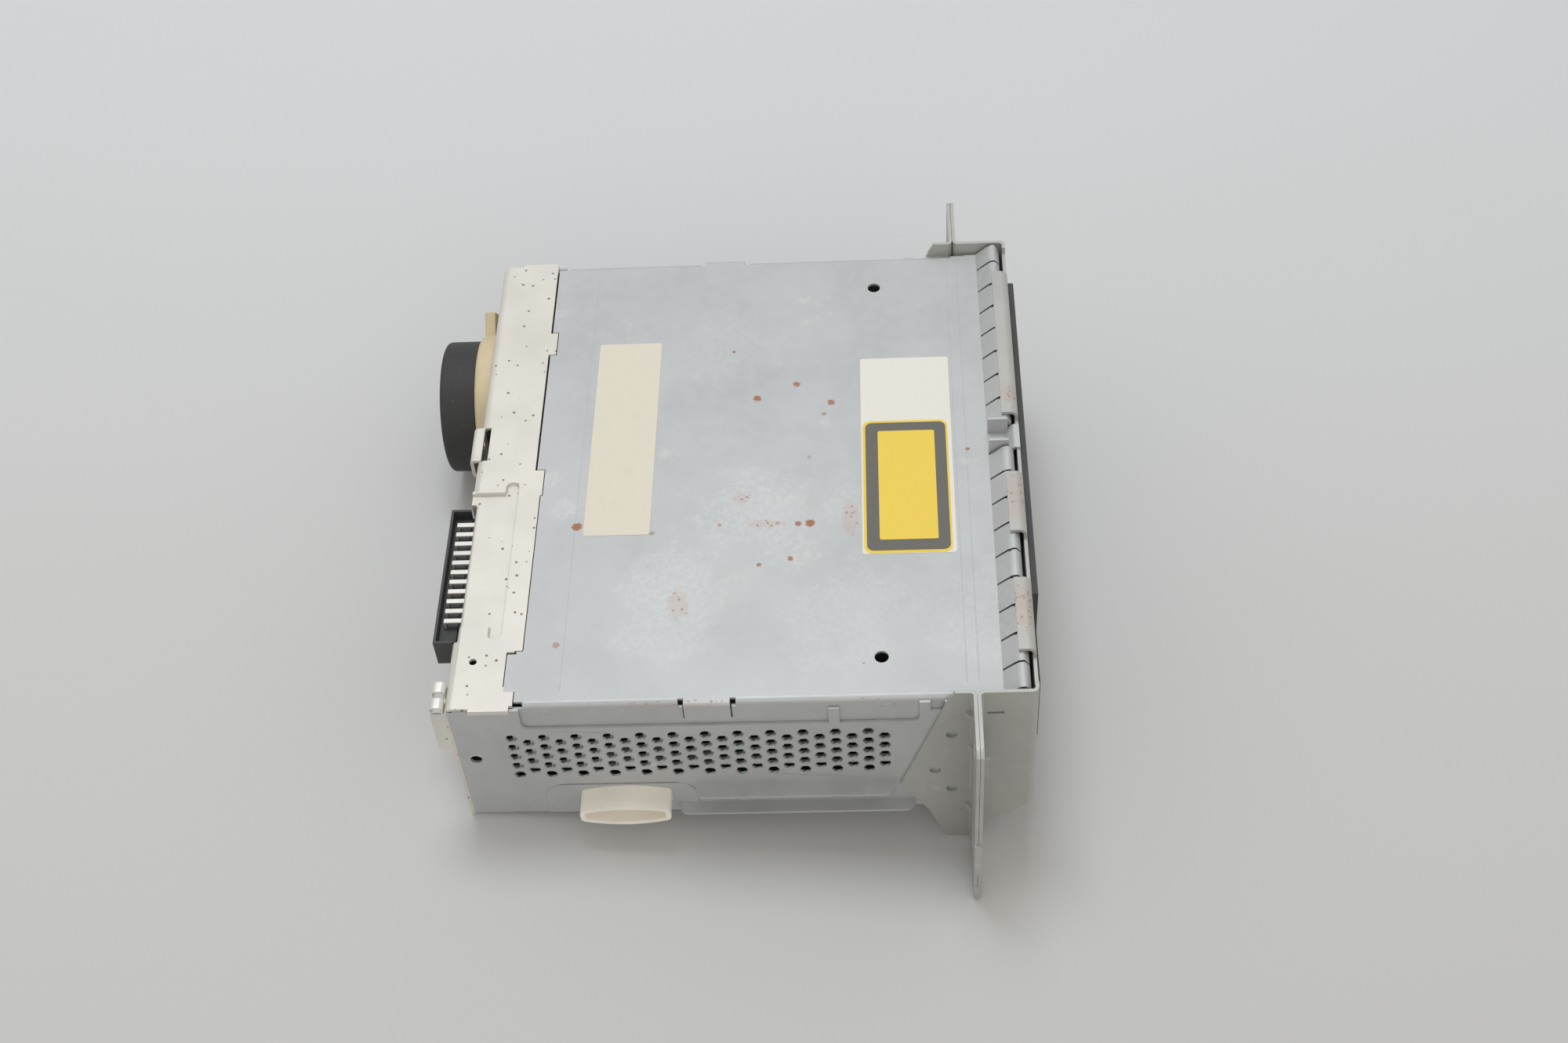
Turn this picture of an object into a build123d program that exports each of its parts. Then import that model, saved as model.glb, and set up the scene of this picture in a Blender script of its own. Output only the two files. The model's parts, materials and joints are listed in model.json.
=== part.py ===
from build123d import *
import math
import os

# Slot-loading disc player for a car, one slot unit high, millimetres.
# The model is laid out from the rear face of the case (x = 0, +X to the front), the middle of
# its width (y = 0) and the underside of the tray (z = 0), and moved to the centre of the
# mounting-flange holes when it is written.

# Case
case_width = 178.0          # outside of the tray's side walls, the common slot width
case_height = 52.2          # underside of the tray to the outside of the cover
case_front = 163.5          # rear face to the outside of the front plate
tray_gauge = 0.8
cover_gauge = 0.8
rear_gauge = 1.0
bracket_gauge = 1.0
sheet_gap = 0.1             # between sheets that lap each other
edge_gap = 0.3              # between sheet edges that meet
sheet_bend = 1.2            # mid-sheet bend radius
front_setback = 1.4         # tray's front edge behind the front plate, clear of its bends

half_width = case_width / 2
tray_inner = half_width - tray_gauge
wall_top = case_height - rear_gauge - sheet_gap

# Side walls of the tray
step_start = 24.5           # the wall is cut down between these two
step_end = 131.0
step_height = case_height - 9.8
step_corner = 2.0
tongue_at = 107.5           # small upward tongue in the cut-down edge
tongue_width = 3.0
tongue_top = case_height - 3.2
notch_at = 136.0            # square notch in the top edge
notch_size = 4.0
vent_hole = 3.0
vent_columns = 24
vent_pitch_x = 4.53
vent_pitch_z = 4.45
vent_first_x = 17.1
vent_top_z = 38.0
vent_rows = 5               # every second column has one row less, set half a pitch lower
wall_screw_hole = 3.4
wall_screw_x = 5.7
wall_screw_z = 28.2
shoe_hole = 3.2
pocket_start = 24.5         # shallow coined field around the guide shoe
pocket_end = 65.0
pocket_top = 15.0
pocket_depth = 0.3
pocket_corner = 3.5

# Bent-out runners below the vents
upper_runner_start = 66.9
upper_runner_end = 123.9
upper_runner_z = 14.0
upper_runner_reach = 4.9
lower_runner_start = 61.3
lower_runner_end = 129.6
lower_runner_z = 4.7
lower_runner_reach = 4.0
runner_corner = 3.0

# Cover with its row of spring fingers
skirt_bottom = 22.0
skirt_start = 22.0
skirt_end = 146.0
cover_rear = 18.5
finger_start = 154.2
finger_crest_x = 159.4
finger_crest_z = case_height + 4.1
finger_toe_x = 162.05
finger_toe_z = case_height - 4.7
finger_slit = 0.7
finger_pitch = 10.0
finger_count = 18
finger_offset = 0.5         # the row of slits sits this far off the middle
latch_finger_count = 8      # fingers on the far side of the flat latch with two upright cheeks
latch_top = case_height + 5.8
latch_cheek = 6.0
cover_hole = 4.0
cover_hole_x = 121.0
cover_hole_y = 74.0
lance_start = 66.4
lance_end = 79.2
lance_bottom = case_height - 7.0
lance_relief = 1.6

# Rear panel, wrapped over the top of the case
rear_lap = 18.2             # reach of its top flange
rear_bend = 2.0
rear_steps = (              # tongues of its front edge: near end, far end, reach
    (48.0, 57.5, 2.3),
    (-11.0, -1.0, 2.8),
    (-69.0, -11.0, 2.2),
    (-88.0, -82.6, 1.0),
)
rear_notch = (-81.5, -69.5)
recess_depth = 1.5
recess_reach = 10.0
recess_far = -9.5
recess_near = -60.0
groove_start = 10.0
groove_end = 14.0
groove_far = -5.6
groove_near = -65.0
buffer_y = 52.4
buffer_z = 26.0
latch_tab_far = 17.0
latch_tab_near = 3.5
latch_tab_out = 2.2
latch_tab_gap = 3.2
side_lip_start = 7.0
side_lip_end = 18.2
side_lip_drop = 1.6

# Connector on the rear panel
socket_far = -14.0
socket_near = -64.0
socket_out = 6.0
socket_top = case_height - 2.2
socket_body_top = case_height - 6.2
socket_bottom = case_height - 21.2
socket_depth = 8.0          # inside the case
socket_wall = 0.8
socket_cavity_z = (case_height - 18.7, case_height - 8.7)
socket_cavity_y = (-61.0, -17.0)
contact_count = 11
contact_first = -19.5
contact_pitch = 3.6
contact_width = 1.5
contact_gauge = 0.6
contact_z = case_height - 3.1
contact_drop_x = -3.6
contact_toe_z = case_height - 9.4
contact_board_x = 5.5
jack_board_z = case_height - 4.6    # top face of the small board that holds the contacts
jack_board_x = (2.0, 30.0)
jack_board_y = (socket_near - 6.0, socket_far + 6.0)

# Rear buffer: rubber ring on a plastic hub
buffer_radius = 22.0
ring_rear = -21.0
ring_front = -11.5
ring_bore = 12.0
ring_round = 1.5
hub_radius = 21.0
hub_snap_radius = 7.0
hub_bore = 4.0
boss_end = -19.5
lug_angle = 41.0
lug_reach = 31.0
lug_width = 8.0
lug_x = (-6.0, -2.4)

# Earthing clip at the rear corner
clip_out = 4.0
clip_z = (case_height - 19.2, case_height - 2.2)
clip_width = 9.0
clip_gauge = 0.6
clip_curl = 1.7

# Front bracket: front plate, side plates and doubled ears in one folded sheet
bracket_y = 90.0            # outside of its side plates
ear_reach = 111.4
ear_bottom = -14.0
bracket_top = case_height + 4.1
ear_front = 147.65
ear_seam = 0.1              # open seam between the two layers of an ear
ear_corner = 4.0
hem_closed = ((-14.0, -9.0), (-1.8, 13.1))
hem_setback = 0.6
hem_fold = 1.0
front_plate_top = case_height + 1.8
front_plate_bottom = 4.1
window_half = 70.0
window_z = (19.0, 33.0)
curl_start = 158.5
curl_top = case_height + 5.2
curl_spans = ((12.8, 74.5), (-33.6, -10.9), (-76.3, -50.9))
bracket_hole = 3.2
bracket_hole_places = ((139.8, 36.9), (135.3, 19.8), (140.0, 10.5))
gussets = ((46.6, 2.2), (31.0, 1.3), (2.3, 2.2))    # middle height, size
hook_y = (-98.0, -97.0)     # thin tab that stands forward of each ear
hook_z = (26.5, 36.0)
hook_reach = 2.4
hook_notch = 1.2
wedge_top = 53.0            # corners of the tapered rear layer of the side plate
wedge_waist = 13.0
wedge_low = -0.3
wedge_depths = (6.0, 7.7, 21.3, 13.1, 8.1)
lanced_slot_x = (149.5, 154.1)
lanced_slot_z = case_height - 5.2
flange_hole = 5.5
flange_hole_y = ear_reach - 10.9
flange_hole_dz = 24.0       # each side of the flange's mid height
flange_mid_z = (bracket_top + ear_bottom) / 2
flange_mid_x = ear_front - bracket_gauge - ear_seam / 2

# Bezel with the disc slot
bezel_gap = 0.1
bezel_thick = 2.4
bezel_half = 77.0
bezel_z = (9.0, case_height - 1.2)
slot_half = 61.5
slot_z = (23.6, 28.4)
felt_thick = 1.4
felt_height = 3.0
flap_thick = 1.0
flap_half = 62.3
flap_pivot_x = 160.8
flap_pivot_z = 29.5
flap_pin = 1.0
flap_lug_y = (63.2, 65.2)
bezel_snap_y = (66.6, 69.4)
bezel_snap_reach = 3.2

# Guide shoes on both sides
shoe_start = 33.5
shoe_end = 59.6
shoe_mid_z = 9.4
shoe_mid_height = 8.9
shoe_end_height = 4.6
shoe_wall = 1.5
shoe_reach = 7.2
shoe_stud = 3.0

# Disc and its path
disc_x = 85.0
disc_radius = 60.0
disc_thick = 1.2
disc_z = 25.4               # underside of a disc on its way in
seat_z = 23.2               # underside of a disc in play

# Boards
board_z = 4.0
board_thick = 1.6
board_x = (6.0, 158.0)
board_half = 84.0
board_screw_x = (12.0, 152.0)
board_screw_y = 79.0
capacitor_x = (44.0, 56.0, 68.0)
capacitor_y = 78.5
capacitor_radius = 3.8
capacitor_height = 8.0

# Deck
deck_x = (6.0, 156.0)
deck_z = 14.0
deck_gauge = 1.0
damper_x = (14.0, 112.0)
damper_radius = 5.0
damper_waist = 3.5
damper_foot = 3.0           # below the deck
damper_head = 2.0           # above it
post_radius = 3.0
guide_z = 30.5
guide_half = 68.0
deck_half = guide_half + 1.0
damper_y = guide_half - 8.0
guide_x = (20.0, 156.5)
running = 0.05              # radial running clearance of pins and shafts
round_side_count = 12       # sides of the hidden round pieces that repeat

# Loading roller and its arm
roller_x = 140.0
roller_z = 21.0
roller_end_radius = 4.2
roller_mid_radius = 3.4
roller_rod = 1.5
arm_pivot_x = 126.0
arm_pivot_z = 18.0
arm_pin = 1.5
arm_cheek_y = guide_half - 4.0
roller_span = (6.0, arm_cheek_y - 2.0)
arm_drop = 12.0             # degrees that the roller arm turns down

# Gear train from the loading motor to the roller
gear_module = 0.8
gear_y = (guide_half + 2.0, guide_half + 6.0)
gear_addendum = 0.85        # modules
gear_dedendum = 1.15
roller_teeth = 16
idler_teeth = 24
pinion_teeth = 12
load_motor_radius = 8.0
load_motor_gap = 1.4        # below the cover
load_motor_length = 22.0

# Clamp
clamp_pivot_x = 28.0
clamp_pivot_z = 35.0
clamp_lift = 7.2            # degrees that the arm stands up at rest
clamp_arm_z = 33.0
clamp_arm_half = 12.0
clamper_radius = 13.0
clamper_stem = 4.0
crank_reach_roller = 8.0
crank_reach_clamp = 12.0
crank_pin = 1.0

# Cam slide on the near side of the guide plate
cam_travel = 10.0
cam_gauge = 1.0
cam_z = (20.5, 26.0)
cam_stud_x = (62.0, 100.0)
cam_stud = 1.5

# Spindle and pickup
spindle_motor_radius = 10.5
spindle_motor_height = 6.6
spindle_shaft = 1.0
table_radius = 14.5
cone_radius = 7.4
sled_x = 61.0               # pickup at the inner tracks, where it rests
sled_travel = 35.0
rail_z = 10.2
rod_y = -17.0
screw_y = 19.0
rail_radius = 1.5
rail_x = (8.0, 78.5)
lens_radius = 3.2

# Disc sensing levers on the guide plate
lever_pivot_x = 130.0
lever_pivot_y = guide_half - 10.0
lever_reach = 22.0
lever_rest = 35.0           # degrees inwards of straight ahead
lever_swing = 45.0
lever_pin = 1.2
lever_z = 31.9


# Helpers

def block(x, y, z):
    """Box between two limits on each axis."""
    size = [max(v) - min(v) for v in (x, y, z)]
    middle = [(max(v) + min(v)) / 2 for v in (x, y, z)]
    return Pos(*middle) * Box(*size)


def shaft(direction, start, radius, length):
    """Cylinder from a start point along +X, +Y or +Z."""
    turn = {"X": Rot(0, 90, 0), "Y": Rot(-90, 0, 0), "Z": Rot(0, 0, 0)}[direction]
    low = (Align.CENTER, Align.CENTER, Align.MIN)
    return Pos(*start) * turn * Cylinder(radius, length, align=low)


def many_sided(x, y, radius, z_low, z_high):
    """Upright bar with twelve sides, for hidden round pieces that repeat."""
    return upwards(Pos(x, y) * RegularPolygon(radius, round_side_count), z_low, z_high)


def across(face, y_low, y_high):
    """Extrude a face drawn in x and z over a stretch of y."""
    return extrude(Plane.XZ.offset(-y_high) * face, y_high - y_low)


def upwards(face, z_low, z_high):
    """Extrude a face drawn in x and y over a stretch of z."""
    return extrude(Plane.XY.offset(z_low) * face, z_high - z_low)


def lengthwise(face, x_low, x_high):
    """Extrude a face drawn in y and z over a stretch of x."""
    return extrude(Plane.YZ.offset(x_low) * face, x_high - x_low)


def beside(points, distance):
    """Points of the line that runs to the left of a line, at a distance."""
    normals = []
    for first, second in zip(points, points[1:]):
        ahead = (second - first).normalized()
        normals.append(Vector(-ahead.Y, ahead.X))
    result = []
    for index, point in enumerate(points):
        before = normals[max(index - 1, 0)]
        after = normals[min(index, len(normals) - 1)]
        result.append(point + (before + after) * (distance / (1 + before.dot(after))))
    return result


def bent_section(points, gauge, bend):
    """Section of a bent sheet along its middle line, with the same bend, or none, at each corner."""
    middle = [Vector(*p) for p in points]
    turns = []
    for a, b, c in zip(middle, middle[1:], middle[2:]):
        turns.append(math.copysign(1, (b - a).cross(c - b).Z))
    sides = []
    for side in (gauge / 2, -gauge / 2):
        line = beside(middle, side)
        if bend:
            radii = [bend - side * turn for turn in turns]
            sides.append((line, FilletPolyline(*line, radius=radii)))
        else:
            sides.append((line, Polyline(*line)))
    (left, left_line), (right, right_line) = sides
    ends = [Line(left[0], right[0]), Line(left[-1], right[-1])]
    return make_face(left_line.edges() + right_line.edges() + ends)


def outline(*points):
    """Face with straight sides through the points."""
    return make_face(Polyline(*points, close=True))


def both_sides(piece):
    """A piece and its mirror image across the middle of the width."""
    return piece + mirror(piece, about=Plane.XZ)


def grid_places(first, pitch, count):
    return [first + pitch * index for index in range(count)]


# Case

def vent_places():
    """Centres of the vent holes: columns of five and four in turn."""
    places = []
    for column, x in enumerate(grid_places(vent_first_x, vent_pitch_x, vent_columns)):
        lower = column % 2
        top = vent_top_z - lower * vent_pitch_z / 2
        for z in grid_places(top, -vent_pitch_z, vent_rows - lower):
            places.append((x, z))
    return places


def wall_face():
    """Side wall of the tray with its cut-down top edge, tongue, notch and holes."""
    start = rear_gauge + sheet_gap
    end = case_front - bracket_gauge - front_setback
    corner = rear_bend - rear_gauge / 2 - sheet_gap     # clears the rear panel's bend
    face = outline((start, sheet_bend * 2), (end, sheet_bend * 2), (end, wall_top),
                   (start + corner, wall_top), (start, wall_top - corner))
    low = RectangleRounded(step_end - step_start, wall_top - step_height + 2 * step_corner, step_corner)
    face -= Pos((step_start + step_end) / 2, (step_height + wall_top) / 2 + step_corner) * low
    face += Pos(tongue_at, (step_height + tongue_top) / 2 - 0.5) * Rectangle(
        tongue_width, tongue_top - step_height + 1
    )
    face -= Pos(notch_at, wall_top) * Rectangle(notch_size, 2 * notch_size)
    vents = [Pos(x, z) * RegularPolygon(vent_hole / 2, 6) for x, z in vent_places()]
    face -= vents
    face -= Pos(wall_screw_x, wall_screw_z) * Circle(wall_screw_hole / 2)
    for x, z in shoe_stud_places():
        face -= Pos(x, z) * Circle(shoe_hole / 2)
    return face


def shoe_stud_places():
    inset = 4.5
    return ((shoe_start + inset, shoe_mid_z), (shoe_end - inset, shoe_mid_z))


def runner(start, end, z, reach):
    """Flat runner bent out of the near side wall, with two round outer corners."""
    plate = Pos((start + end) / 2, -half_width - reach / 2) * Rectangle(end - start, reach)
    corners = plate.vertices().sort_by(Axis.Y)[:2]
    plate = fillet(corners, runner_corner)
    root = Pos((start + end) / 2, -half_width + 0.2) * Rectangle(end - start, 0.4)
    return upwards(plate + root, z - tray_gauge, z)


def chassis_tray():
    middle = half_width - tray_gauge / 2
    top = sheet_bend * 2
    floor_line = [(-middle, top), (-middle, tray_gauge / 2), (middle, tray_gauge / 2), (middle, top)]
    start = rear_gauge + sheet_gap
    end = case_front - bracket_gauge - front_setback
    tray = lengthwise(bent_section(floor_line, tray_gauge, sheet_bend), start, end)
    wall = across(wall_face(), -half_width, -tray_inner)
    pocket = outline(
        (pocket_start, sheet_bend * 2),
        (pocket_end, sheet_bend * 2),
        (pocket_end, pocket_top - pocket_corner),
        (pocket_end - pocket_corner, pocket_top),
        (pocket_start + pocket_corner, pocket_top),
        (pocket_start, pocket_top - pocket_corner),
    )
    wall -= across(pocket, -half_width, -half_width + pocket_depth)
    wall += runner(upper_runner_start, upper_runner_end, upper_runner_z, upper_runner_reach)
    wall += runner(lower_runner_start, lower_runner_end, lower_runner_z, lower_runner_reach)
    tray += wall
    tray += mirror(wall, about=Plane.XZ)
    for x in board_screw_x:
        for y in (-board_screw_y, board_screw_y):
            tray += many_sided(x, y, post_radius, tray_gauge / 2, board_z)
    return tray


def finger_edges():
    """Y of each slit between fingers, from the far side to the near side."""
    first = finger_offset + finger_pitch * (finger_count / 2 - 1)
    return grid_places(first, -finger_pitch, finger_count - 1)


def top_cover():
    mid = cover_gauge / 2
    side = tray_inner - sheet_gap - mid
    flat = case_height - mid
    fingers = [
        (finger_start - 4, flat),
        (finger_start, flat),
        (finger_crest_x - 1.0, finger_crest_z - mid - 0.3),
        (finger_crest_x + 0.4, finger_crest_z - mid),
        (finger_toe_x - 1.1, finger_crest_z - 2.0),
        (finger_toe_x - mid, finger_toe_z),
    ]
    row = across(bent_section(fingers, cover_gauge, 0), -side - mid, side + mid)
    across_top = [(-side, skirt_bottom), (-side, flat), (side, flat), (side, skirt_bottom)]
    cover = lengthwise(bent_section(across_top, cover_gauge, sheet_bend), skirt_start, skirt_end)
    cover += block((cover_rear + edge_gap, skirt_start), (-side + 1, side - 1), (flat - mid, case_height))
    cover += block((skirt_end, finger_start - 3.5), (-side, side), (flat - mid, case_height))
    for near, far, reach in rear_steps:
        cover -= block((cover_rear - 1, rear_lap + reach + edge_gap), (near - edge_gap, far + edge_gap),
                       (flat - 2 * cover_gauge, case_height + 1))
    cover += row
    slits = finger_edges()
    for y in slits:
        cover -= block(
            (finger_start, case_front),
            (y - finger_slit / 2, y + finger_slit / 2),
            (finger_toe_z - 1, latch_top),
        )
    far = slits[latch_finger_count - 1] - finger_slit / 2
    near = slits[latch_finger_count] + finger_slit / 2
    cover -= block((finger_start, case_front), (near, far), (finger_toe_z - 1, latch_top))
    latch_line = [
        (finger_start - 0.5, flat),
        (finger_crest_x, flat),
        (case_front - bracket_gauge - 0.6, front_plate_top + sheet_gap + mid),
        (case_front, front_plate_top + sheet_gap + mid),
    ]
    cover += across(bent_section(latch_line, cover_gauge, 0.9), near, far)
    for y in (near, far - cover_gauge):
        cheek_x = (finger_start, finger_start + latch_cheek)
        cover += block(cheek_x, (y, y + cover_gauge), (flat, latch_top))
    for y in (-cover_hole_y, cover_hole_y):
        cover -= shaft("Z", (cover_hole_x, y, flat - 1), cover_hole / 2, 3)
    return cover - lance_openings() + lance_tabs()


def lance_openings():
    """Window in the skirt behind each lanced tab, with a square relief at both top corners."""
    window = block((lance_start - 0.4, lance_end + 0.4), (-half_width - 1, -tray_inner + 1.5),
                   (lance_bottom - 0.4, case_height - 2.2))
    for x in (lance_start - lance_relief, lance_end):
        window += block((x, x + lance_relief), (-half_width - 1, -tray_inner + 1.5),
                        (case_height - 2.2, case_height + 1))
    return both_sides(window)


def lance_tabs():
    """Tab that drops from the cover's edge, proud of the skirt and level with the tray wall."""
    mid = cover_gauge / 2
    line = [(-tray_inner + 2.0, case_height - mid), (-half_width + mid, case_height - mid),
            (-half_width + mid, lance_bottom)]
    tab = lengthwise(bent_section(line, cover_gauge, 0.7), lance_start, lance_end)
    return both_sides(tab)


def rear_panel():
    mid = rear_gauge / 2
    side = half_width - 0.2
    upright = [(mid, 0.4), (mid, case_height - mid), (rear_lap, case_height - mid)]
    panel = across(bent_section(upright, rear_gauge, rear_bend), -side, side)
    for near, far, reach in rear_steps:
        panel += block((rear_lap - 3, rear_lap + reach), (near, far), (case_height - rear_gauge, case_height))
    panel -= block((rear_lap - 2.2, rear_lap + 1), rear_notch, (case_height - 2, case_height + 1))
    lip = block((side_lip_start, side_lip_end), (-half_width - 0.8, -half_width),
                (case_height - side_lip_drop, case_height))
    lip += block((side_lip_start, side_lip_end), (-half_width - 0.1, -side + 0.1),
                 (case_height - rear_gauge, case_height))
    panel += both_sides(lip)
    panel = connector_recess(panel)
    panel = latch_tab(panel)
    panel -= shaft("Z", (6.8, -72.6, case_height - 3), 1.1, 4)
    return panel - shaft("X", (-1, buffer_y, buffer_z), hub_snap_radius + sheet_gap, 3)


def connector_recess(panel):
    """Lowered field of the top flange over the connector, open to the rear."""
    floor_top = case_height - recess_depth
    floor_low = floor_top - rear_gauge
    wall = rear_gauge
    groove_mid = (groove_start + groove_end) / 2
    groove_length = groove_far - groove_near

    def field(grow):
        flat = Pos(recess_reach / 2, (recess_far + recess_near) / 2) * Rectangle(
            recess_reach + 2 * grow, recess_far - recess_near + 2 * grow
        )
        slot = Pos(groove_mid, (groove_far + groove_near) / 2) * Rot(0, 0, 90) * SlotOverall(
            groove_length + 2 * grow, groove_end - groove_start + 2 * grow
        )
        link = Pos((recess_reach + groove_mid) / 2 - 1, (recess_far + recess_near) / 2) * Rectangle(
            groove_mid - recess_reach + 2, recess_far - recess_near + 2 * grow
        )
        return flat + slot + link

    window_y = (socket_near - 1.0, socket_far + 1.0)
    window = block((-3, 1.5), window_y, (socket_bottom - 0.5, case_height + 1))
    panel += upwards(field(wall), floor_low, case_height - rear_gauge / 2)
    panel -= upwards(field(0), floor_top, case_height + 1)
    panel -= window
    return panel - block((-3, 0), (-90, 90), (case_height - 6, case_height + 1))


def latch_tab(panel):
    """Tab bulged out to the rear at the top bend, with an open gap behind it."""
    gauge = rear_gauge
    panel -= block((-3, latch_tab_gap), (latch_tab_near, latch_tab_far),
                   (case_height - 10, case_height + 1))
    line = [
        (gauge / 2, case_height - 11),
        (gauge / 2, case_height - 9.5),
        (-latch_tab_out + gauge / 2, case_height - 6.5),
        (-latch_tab_out + gauge / 2, case_height - gauge / 2),
        (latch_tab_gap - 2.0, case_height - gauge / 2),
    ]
    tab = across(bent_section(line, gauge, 0.9), latch_tab_near + 0.05, latch_tab_far - 0.05)
    return panel + tab


def connector_housing():
    """Connector body with an open trough on top and a socket cavity facing the rear."""
    body = block((-socket_out, socket_depth), (socket_near, socket_far), (socket_bottom, socket_body_top))
    trough = block((-socket_out, -0.2), (socket_near, socket_far), (socket_body_top - 1, socket_top))
    inside = (socket_near + socket_wall, socket_far - socket_wall)
    trough -= block((-socket_out + socket_wall, 1), inside, (socket_body_top + 0.6, socket_top + 1))
    body += trough
    chamfer_side = 5.0
    corner = outline(
        (socket_near - 1, socket_bottom - 1),
        (socket_near + chamfer_side, socket_bottom - 1),
        (socket_near - 1, socket_bottom + chamfer_side),
    )
    body -= lengthwise(corner, -socket_out - 1, socket_depth + 1)
    body -= block((-socket_out - 1, socket_depth - 2), socket_cavity_y, socket_cavity_z)
    slot_half_width = contact_width / 2 + 0.1
    for y in contact_places():
        body -= block((contact_drop_x - contact_gauge / 2 - 0.1, contact_drop_x + contact_gauge / 2 + 0.1),
                      (y - slot_half_width, y + slot_half_width),
                      (socket_cavity_z[1] - 0.5, socket_top - 1))
    return body


def contact_places():
    return grid_places(contact_first, -contact_pitch, contact_count)


def connector_contacts():
    line = [
        (contact_board_x, jack_board_z),
        (contact_board_x, contact_z),
        (contact_drop_x, contact_z),
        (contact_drop_x, contact_toe_z),
    ]
    face = bent_section(line, contact_gauge, 0)
    return [across(face, y - contact_width / 2, y + contact_width / 2) for y in contact_places()]


def jack_board():
    """Small board behind the connector, on the connector body."""
    return block(jack_board_x, jack_board_y, (socket_body_top, jack_board_z))


def rear_buffer_hub():
    hub = shaft("X", (ring_front, buffer_y, buffer_z), hub_radius, -ring_front)
    hub += shaft("X", (boss_end, buffer_y, buffer_z), ring_bore, -boss_end)
    hub += shaft("X", (-0.5, buffer_y, buffer_z), hub_snap_radius, 2.5)
    lug = Pos(lug_reach / 2, 0) * Rectangle(lug_reach, lug_width)
    tip = lug.vertices().sort_by(Axis.X)[2:]
    lug = Pos(buffer_y, buffer_z) * Rot(0, 0, lug_angle) * chamfer(tip, 1.2)
    hub += lengthwise(lug, *lug_x)
    return hub - shaft("X", (boss_end - 1, buffer_y, buffer_z), hub_bore, 8.0)


def rear_buffer_ring():
    ring = shaft("X", (ring_rear, buffer_y, buffer_z), buffer_radius, ring_front - ring_rear)
    ends = ring.edges().filter_by(GeomType.CIRCLE).sort_by(Axis.X)
    ring = chamfer(ends[0], ring_round)
    bore = ring_bore + sheet_gap
    return ring - shaft("X", (ring_rear - 1, buffer_y, buffer_z), bore, ring_front - ring_rear + 2)


def earth_clip():
    """Sprung earthing clip on the rear corner, with two curled fingers on top."""
    near = -half_width + 0.2
    clip = block((-clip_gauge, 0), (near, near + clip_width), clip_z)
    clip += block((-clip_out, 0), (near, near + clip_gauge), clip_z)
    curl_z = clip_z[1] + 1.0
    arc_line = [
        (-clip_gauge / 2, clip_z[1] - 1),
        (-clip_gauge / 2, curl_z + clip_curl),
        (-2 * clip_curl, curl_z + clip_curl),
        (-2 * clip_curl, curl_z - 0.6),
    ]
    curl = bent_section(arc_line, clip_gauge, clip_curl - clip_gauge)
    for y in (near, near + clip_width - 3.5):
        clip += across(curl, y, y + 3.5)
    return clip


# Front bracket and bezel

def ear_layers():
    """Front plate, side plate and both layers of the near ear, full height."""
    gauge = bracket_gauge
    side = -bracket_y + gauge / 2
    front = case_front - gauge / 2
    front_layer = ear_front - gauge / 2
    rear_layer = front_layer - gauge - ear_seam
    tip = -ear_reach + 0.2
    forward = [(front, 0), (front, side), (front_layer, side), (front_layer, tip)]
    backward = [(rear_layer, tip), (rear_layer, side), (rear_layer - 24, side)]
    sheet = upwards(bent_section(forward, gauge, sheet_bend + 0.3), ear_bottom, bracket_top)
    rear = upwards(bent_section(backward, gauge, sheet_bend), ear_bottom, bracket_top)
    return sheet, rear


def side_cut(points, x_range):
    """Everything of the near side plate that lies outside an outline."""
    field = Pos(sum(x_range) / 2, 20) * Rectangle(x_range[1] - x_range[0], 120)
    return across(field - outline(*points), -bracket_y - 0.01, -half_width + 1.5)


def front_bracket():
    forward, rear = ear_layers()
    mid = flange_mid_x
    head, shoulder, waist, knee, foot = wedge_depths
    forward -= side_cut(
        ((ear_front - 1, ear_bottom - 1), (ear_front + 1.9, -7.8), (case_front + 1, front_plate_bottom),
         (case_front + 1, bracket_top + 1), (ear_front - 1, bracket_top + 1)),
        (ear_front + 0.9, case_front + 2),
    )
    forward -= block((ear_front + 2, case_front + 1), (-half_width + 1.4, 1), (bracket_top + 1, ear_bottom - 1)) & \
        front_cut()
    rear -= side_cut(
        ((mid - foot, ear_bottom), (mid, ear_bottom), (mid, bracket_top), (mid - head, bracket_top),
         (mid - shoulder, wedge_top), (mid - waist, wedge_waist), (mid - knee, wedge_low)),
        (mid - waist - 5, mid - 0.1),
    )
    half = forward + rear
    for low, high in hem_closed:
        half += block((ear_front - 2 * bracket_gauge - ear_seam, ear_front),
                      (-ear_reach, -ear_reach + hem_fold), (low, high))
    for low, high in ((-9.0, -1.8), (13.1, bracket_top + 1)):
        half -= block((140, ear_front + 1), (-ear_reach - 1, -ear_reach + hem_setback), (low, high))
    half -= ear_corner_cut()
    for z, size in gussets:
        half += gusset(z, size)
    half += hook()
    for x, z in bracket_hole_places:
        small = Pos(x, z) * RegularPolygon(bracket_hole / 2, round_side_count)
        half -= across(small, -bracket_y - 1, -half_width + 1)
    slot = Pos(sum(lanced_slot_x) / 2, lanced_slot_z) * Rectangle(lanced_slot_x[1] - lanced_slot_x[0], 0.9)
    half -= across(slot, -bracket_y - 1, -half_width + 1)
    for dz in (-flange_hole_dz, flange_hole_dz):
        half -= shaft("X", (140, -flange_hole_y, flange_mid_z + dz), flange_hole / 2, 12)
    bracket = both_sides(half)
    bracket -= block((case_front - 3, case_front + 1), (-window_half, window_half), window_z)
    curl_line = [
        (case_front - bracket_gauge / 2, front_plate_top - 1.5),
        (case_front - bracket_gauge / 2, curl_top - bracket_gauge / 2),
        (curl_start, curl_top - bracket_gauge / 2),
    ]
    curl = bent_section(curl_line, bracket_gauge, 1.8)
    for near, far in curl_spans:
        bracket += across(curl, near, far)
    return bracket


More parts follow.
